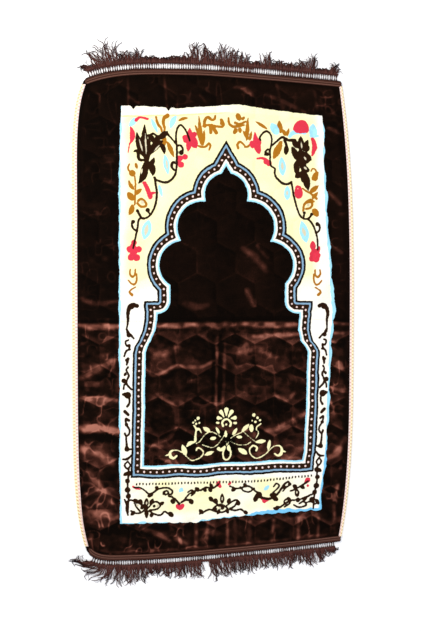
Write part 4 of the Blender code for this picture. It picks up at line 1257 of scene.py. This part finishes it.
def headingPiece(end):
    # a tape over the end: two ribs of twisted cord, a lip to the floor, and drawn-in rounded ends
    low, high = corners["left" + end][0], corners["right" + end][0]
    along = np.linspace(low, high, int((high - low) * 1000 / heading["step"]))[:, None]
    fromEnd = np.minimum(along - low, high - along) * 1000
    tuck = softStep(-3.0, 5.0, fromEnd)
    width = heading["width"] * (0.55 + 0.45 * tuck)
    share = np.linspace(1.0, 0.0, 24)[None, :]
    # the outer corner of each end is cut to a quarter round, which draws the whole section inwards
    leftRound, rightRound = heading["rounds"][end]
    drawn = 0.0
    for radius, gap in ((leftRound, (along - low) * 1000), (rightRound, (high - along) * 1000)):
        short = np.clip(radius - gap, 0.0, radius)
        drawn = drawn + radius - np.sqrt(np.maximum(radius ** 2 - short ** 2, 0.0))
    drawn = np.minimum(drawn, 8.4)
    out = -width - (drawn - width) * (1 - share)
    run = along * 1000 / heading["ribPitch"]
    rib = sum(hill(-heading["width"] * share - centre, 0.75) for centre in heading["ribs"])
    cord = 0.5 + 0.5 * np.cos(2 * math.pi * (run + share * heading["width"] / 3.2))
    topZ = 5.35 + rib * (0.55 + 0.35 * cord) + 0.10 * np.cos(2 * math.pi * run * 2)
    topZ = 4.35 + (topZ - 4.35) * (0.55 + 0.45 * tuck)
    ones = np.ones_like(along)
    outward = np.hstack([out, 0.9 - drawn, 1.5 - drawn, 1.6 - drawn, 1.6 - drawn, 0.3 - drawn,
                         0.3 - drawn, -width])
    height = np.hstack([topZ, 5.2 * ones, 4.7 * ones, 3.6 * ones, 0.0 * ones, 0.0 * ones, 4.3 * ones,
                        4.3 * ones])

    def placer(offset):
        # a point square to the end's bowed line at each station
        return offEnd(end, along + 0 * offset, offset / 1000)

    blank = np.zeros((len(along), 7))
    lipShade = blank.copy()
    lipShade[:, :4] = 0.75
    # painted highlight on each rib's crest, painted shade along the tape's edges, its middle and the lip
    ribHighlight = np.hstack([np.clip(rib, 0, 1) * (0.35 + 0.6 * cord) * (0.6 + 0.4 * tuck), blank])
    edgeShade = 0.85 * hill(share, 0.07) + 0.7 * hill(1 - share, 0.05) + 0.35 * hill(share - 0.5, 0.10)
    rim = np.hstack([edgeShade * ones, lipShade])
    return sweptPiece("heading" + end, outward, height, placer, [tape], {"rib": ribHighlight, "rim": rim})


headings = {end: headingPiece(end) for end in ends}
print("stage: end headings")


def tubes(paths, radii, sides):
    # round tubes along many paths at once: each ring is the path's point, plus the radius times the
    # turn's cosine across the path and its sine up from it
    count, stations = paths.shape[:2]
    along = np.gradient(paths, axis=1)
    along /= np.linalg.norm(along, axis=2, keepdims=True) + 1e-12
    across = np.cross(along, (0.0, 0.0, 1.0))
    across /= np.linalg.norm(across, axis=2, keepdims=True) + 1e-12
    up = np.cross(across, along)
    turn = np.arange(sides) * 2 * math.pi / sides
    ring = (across[:, :, None] * np.cos(turn)[:, None] + up[:, :, None] * np.sin(turn)[:, None])
    points = paths[:, :, None] + radii[:, :, None, None] * ring
    quads = gridFaces(stations, sides, closed=True)
    start = (np.arange(count) * stations * sides)[:, None]
    caps = np.vstack([start + np.arange(sides)[::-1], start + (stations - 1) * sides + np.arange(sides)])
    allQuads = (start[:, :, None] + quads[None]).reshape(-1, 4)
    return points.reshape(-1, 3), allQuads, caps.tolist()


def yarnPiece(name, groups, materials):
    # joins several sets of tubes into one mesh, each with its tone along the yarn
    points, quads, caps, tones, base = [], [], [], [], 0
    for paths, radii, sides, tone in groups:
        p, q, c = tubes(paths, radii, sides)
        points.append(p)
        quads.append(q + base)
        caps += [[index + base for index in face] for face in c]
        tones.append(np.repeat(tone[:, :, None], sides, 2).ravel())
        base += len(p)
    return addPiece(name, np.vstack(points), np.vstack(quads)[:, ::-1], materials,
                    [face[::-1] for face in caps], len(caps), {"tone": np.concatenate(tones)})


# soft-spun acrylic fringe yarn: dull plum brown, paler where its fibres fluff, and painted lighter where the
# braid's chain lifts
yarn, yarnTree, yarnShader = newMaterial("soft_spun_fringe_yarn", {
    "Roughness": 0.9, "Specular IOR Level": 0.05, "Sheen Weight": 0.03, "Sheen Tint": hexColour("a08078")})
yarnPlace = addNode(yarnTree, "ShaderNodeTexCoord").outputs["Object"]
fluff = addNode(yarnTree, "ShaderNodeTexNoise", inputs={"Scale": 700.0, "Detail": 3.0},
                links={"Vector": yarnPlace})
ownTone = addNode(yarnTree, "ShaderNodeAttribute", {"attribute_name": "tone"}).outputs["Fac"]
yarnShade = addNode(yarnTree, "ShaderNodeMath", {"operation": "MULTIPLY_ADD"}, {1: 0.5},
                    {0: fluff.outputs["Fac"], 2: ownTone})
yarnTone = addNode(yarnTree, "ShaderNodeMix", {"data_type": "RGBA"},
                   {6: hexColour("140a08"), 7: hexColour("74473f")}, {"Factor": yarnShade.outputs[0]})
yarnTree.links.new(yarnTone.outputs[2], yarnShader.inputs["Base Color"])
yarnBump = addNode(yarnTree, "ShaderNodeBump", inputs={"Strength": 0.5, "Distance": 0.0003},
                   links={"Height": fluff.outputs["Fac"]})
yarnTree.links.new(yarnBump.outputs["Normal"], yarnShader.inputs["Normal"])

braid = {
    "span": {"Bottom": (-0.296, 0.298), "Top": (-0.301, 0.301)},
    "barPitch": 5.4,
    "barRadius": 1.45,
    "barReach": {"Bottom": (0.6, 12.2), "Top": (0.6, 14.6)},
    "chainOut": {"Bottom": 14.2, "Top": 16.6},
    "chainSwing": 1.7,
    "chainRadius": 1.5,
}


def braidPiece(end):
    # short paired bars cross from the heading to a chain of two yarns that weave round each other
    low, high = braid["span"][end]
    rng = np.random.default_rng(71 if end == "Top" else 72)
    count = int((high - low) * 1000 / braid["barPitch"])
    root = np.linspace(low + 0.002, high - 0.002, count)[:, None]
    root = root + rng.uniform(-0.0005, 0.0005, root.shape)
    s = np.linspace(0, 1, 6)[None, :]
    near, far = braid["barReach"][end]
    reachOut = near + (far - near) * s
    groups = []
    for lean in (-0.0009, 0.0009):
        line = root + lean * (1 - 2 * s) + 0.0003 * rng.uniform(-1, 1, (count, 1))
        x, y = offEnd(end, line, reachOut / 1000)
        z = 0.0014 + 0.0005 * np.sin(math.pi * s) * np.sign(lean) + 0 * root
        thickness = 0.84 + 0.70 * softNoise(root * 1000, root * 0, 30.0, 91)
        thickness = thickness + rng.uniform(-0.2, 0.2, (count, 1))
        radius = braid["barRadius"] / 1000 * (0.75 + 0.25 * np.cos(2 * math.pi * s)) * thickness
        tone = -0.05 + 0.2 * rng.uniform(0, 1, (count, 1)) + 0 * s
        groups.append((np.stack([x, y, z], -1), radius, 6, tone))
    run = np.linspace(low, high, int((high - low) / 0.0011))[None, :]
    for phase, centre in ((0.0, 0.0), (math.pi, 0.0), (math.pi / 2, 1.6)):
        swing = np.sin(2 * math.pi * run * 1000 / braid["barPitch"] + phase)
        lift = np.cos(2 * math.pi * run * 1000 / braid["barPitch"] + phase)
        out = braid["chainOut"][end] + centre + braid["chainSwing"] * swing * (1 - centre / 3)
        x, y = offEnd(end, run, out / 1000)
        path = np.stack([x, y, 0.0021 + 0.0006 * lift], -1)
        # painted light: each chain yarn is drawn lighter where it lifts over the other and darker where it
        # dips
        groups.append((path, np.full(run.shape, braid["chainRadius"] / 1000 * (1 - centre / 8)), 7,
                       0.04 + 0.14 * (0.5 + 0.5 * lift)))
    return yarnPiece("openworkBraid" + end, groups, [yarn])


# Strand clumps, left to right: middle of the root along the end, width there, reach past the
# chain row, and how far the tips lean sideways, in metres
clumps = {
    "Top": (
        (-0.292, 0.018, 0.020, -0.018), (-0.272, 0.018, 0.044, -0.018), (-0.254, 0.018, 0.062, -0.006),
        (-0.238, 0.014, 0.054, 0.002), (-0.216, 0.026, 0.032, 0.000), (-0.190, 0.026, 0.034, 0.000),
        (-0.160, 0.030, 0.019, 0.000), (-0.128, 0.032, 0.016, 0.000), (-0.094, 0.030, 0.021, 0.000),
        (-0.068, 0.018, 0.026, 0.000), (-0.049, 0.018, 0.054, -0.002),
        (-0.027, 0.018, 0.048, 0.004), (-0.005, 0.018, 0.034, 0.000),
        (0.016, 0.018, 0.050, -0.002), (0.040, 0.022, 0.042, 0.004), (0.066, 0.020, 0.034, 0.003),
        (0.095, 0.030, 0.019, 0.000), (0.124, 0.020, 0.040, 0.002), (0.152, 0.026, 0.023, 0.000),
        (0.184, 0.030, 0.021, 0.000), (0.212, 0.020, 0.031, 0.002), (0.234, 0.018, 0.042, 0.006),
        (0.262, 0.028, 0.014, 0.000), (0.287, 0.018, 0.025, 0.018),
    ),
    "Bottom": (
        (-0.288, 0.015, 0.018, -0.036), (-0.270, 0.014, 0.036, -0.030), (-0.252, 0.015, 0.046, -0.018),
        (-0.232, 0.018, 0.050, -0.010), (-0.208, 0.024, 0.050, 0.000), (-0.180, 0.024, 0.044, 0.000),
        (-0.150, 0.028, 0.030, 0.000), (-0.118, 0.028, 0.036, 0.000), (-0.086, 0.028, 0.038, 0.000),
        (-0.052, 0.032, 0.042, 0.006), (-0.002, 0.024, 0.052, 0.010), (0.027, 0.022, 0.047, 0.010),
        (0.055, 0.026, 0.038, 0.004), (0.085, 0.026, 0.042, 0.000), (0.116, 0.028, 0.036, 0.000),
        (0.148, 0.028, 0.038, 0.002), (0.180, 0.028, 0.040, 0.000), (0.209, 0.022, 0.036, 0.002),
        (0.234, 0.020, 0.043, 0.000), (0.260, 0.022, 0.034, 0.002), (0.284, 0.018, 0.016, 0.014),
    ),
}
# kinds of strand: (millimetres apart, radius, wildness, longest reach, points along it)
strand = {
    "rootOut": {"Bottom": 14.0, "Top": 16.4},
    "kinds": ((2.1, 1.25, 1.0, 0.2, 20), (3.0, 0.5, 1.5, 0.2, 18), (1.7, 1.35, 0.5, 0.012, 7)),
}


def strandPiece(end):
    # a strand turns as it runs: its heading is its clump's lean and fan, two sines and a hook at the
    # tip, and its place is the running sum of length times the heading's sine sideways and its
    # cosine outwards
    rng = np.random.default_rng(81 if end == "Top" else 82)
    rows = np.array(clumps[end])
    low, high = corners["left" + end][0], corners["right" + end][0]
    groups = []
    for spacing, radius, wild, longest, stations in strand["kinds"]:
        counts = np.maximum((rows[:, 1] * 1100 / spacing).astype(int), 4)
        owner = np.repeat(np.arange(len(rows)), counts)
        order = np.concatenate([(np.arange(n) + 0.5) / n - 0.5 for n in counts])
        n = len(owner)
        at, width, reach, lean = (rows[owner].T)[:, :, None]
        order = order[:, None]
        s = np.linspace(0, 1, stations)[None, :]
        length = np.minimum(np.hypot(reach, lean), longest) * rng.uniform(0.74, 1.08, (n, 1))
        length = length * (1.12 - 0.3 * np.abs(order * 2) ** 2.5)
        short = softStep(0.042, 0.018, reach)
        hook = rng.choice([-1.0, 1.0], (n, 1)) * rng.uniform(0.3, 1.0 + 2.4 * short, (n, 1)) * wild
        slowTurns = s * length / rng.uniform(0.022, 0.040, (n, 1)) + rng.uniform(0, 1, (n, 1))
        quickTurns = s * length / rng.uniform(0.007, 0.013, (n, 1)) + rng.uniform(0, 1, (n, 1))
        slow = rng.uniform(0.2, 0.55, (n, 1)) * wild * np.sin(2 * math.pi * slowTurns)
        quick = rng.uniform(0.1, 0.45, (n, 1)) * wild * np.sin(2 * math.pi * quickTurns)
        fan = order * rng.uniform(-0.5, 1.0, (n, 1)) * 0.8
        turn = (np.arctan2(lean, reach) * (0.4 + 1.2 * s) + fan * s + (slow + quick) * s ** 0.5
                + hook * s ** 3.0)
        step = length / (stations - 1)
        sideways = np.cumsum(np.sin(turn) * step, 1) - np.sin(turn[:, :1]) * step
        outwards = np.cumsum(np.cos(turn) * step, 1) - np.cos(turn[:, :1]) * step
        place = at + order * width * 1.15 + sideways
        foot = np.clip(place, low, high)
        x, y = offEnd(end, foot, strand["rootOut"][end] / 1000 + np.maximum(outwards, -0.001))
        x = x + place - foot
        taper = 1.0 - 0.2 * s - 0.4 * s ** 4
        thick = radius / 1000 * taper * (1 + 0.3 * short) * rng.uniform(0.8, 1.15, (n, 1))
        layer = rng.uniform(0.0, 0.0022, (n, 1))
        z = thick * 1.05 + 0.0001 + (0.0010 + layer) * (1 - s) ** 1.2 + layer * np.sin(math.pi * s) ** 2
        tone = rng.uniform(-0.14, 0.24, (n, 1)) + 0.22 * (1 - s) - (0.16 + 0.18 * short) * s
        groups.append((np.stack([x, y, z], -1), thick, 5 if wild == 1.0 else 4, tone))
    return yarnPiece("fringeStrands" + end, groups, [yarn])


braids = {end: braidPiece(end) for end in ends}
strands = {end: strandPiece(end) for end in ends}
print("stage: braid and strands")

# How the pieces belong to the rug
for end, node in (("Top", "top"), ("Bottom", "bottom")):
    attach(velvetPieces[end], "root")
    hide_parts("rug_pad")
    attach(headings[end], "root")
    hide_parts("heading_" + node)
    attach(braids[end], "root")
    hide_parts("fringe_" + node)
    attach(strands[end], "root")
    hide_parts("fringe_" + node)
for side in sides:
    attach(bindings[side], "root")
    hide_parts("side_binding_" + side)

for family in (velvetPieces, bindings, headings, braids, strands):
    for piece in family.values():
        triangles = sum(len(face.vertices) - 2 for face in piece.data.polygons)
        print("stage:", piece.name, triangles, "triangles")

print("stage: done")
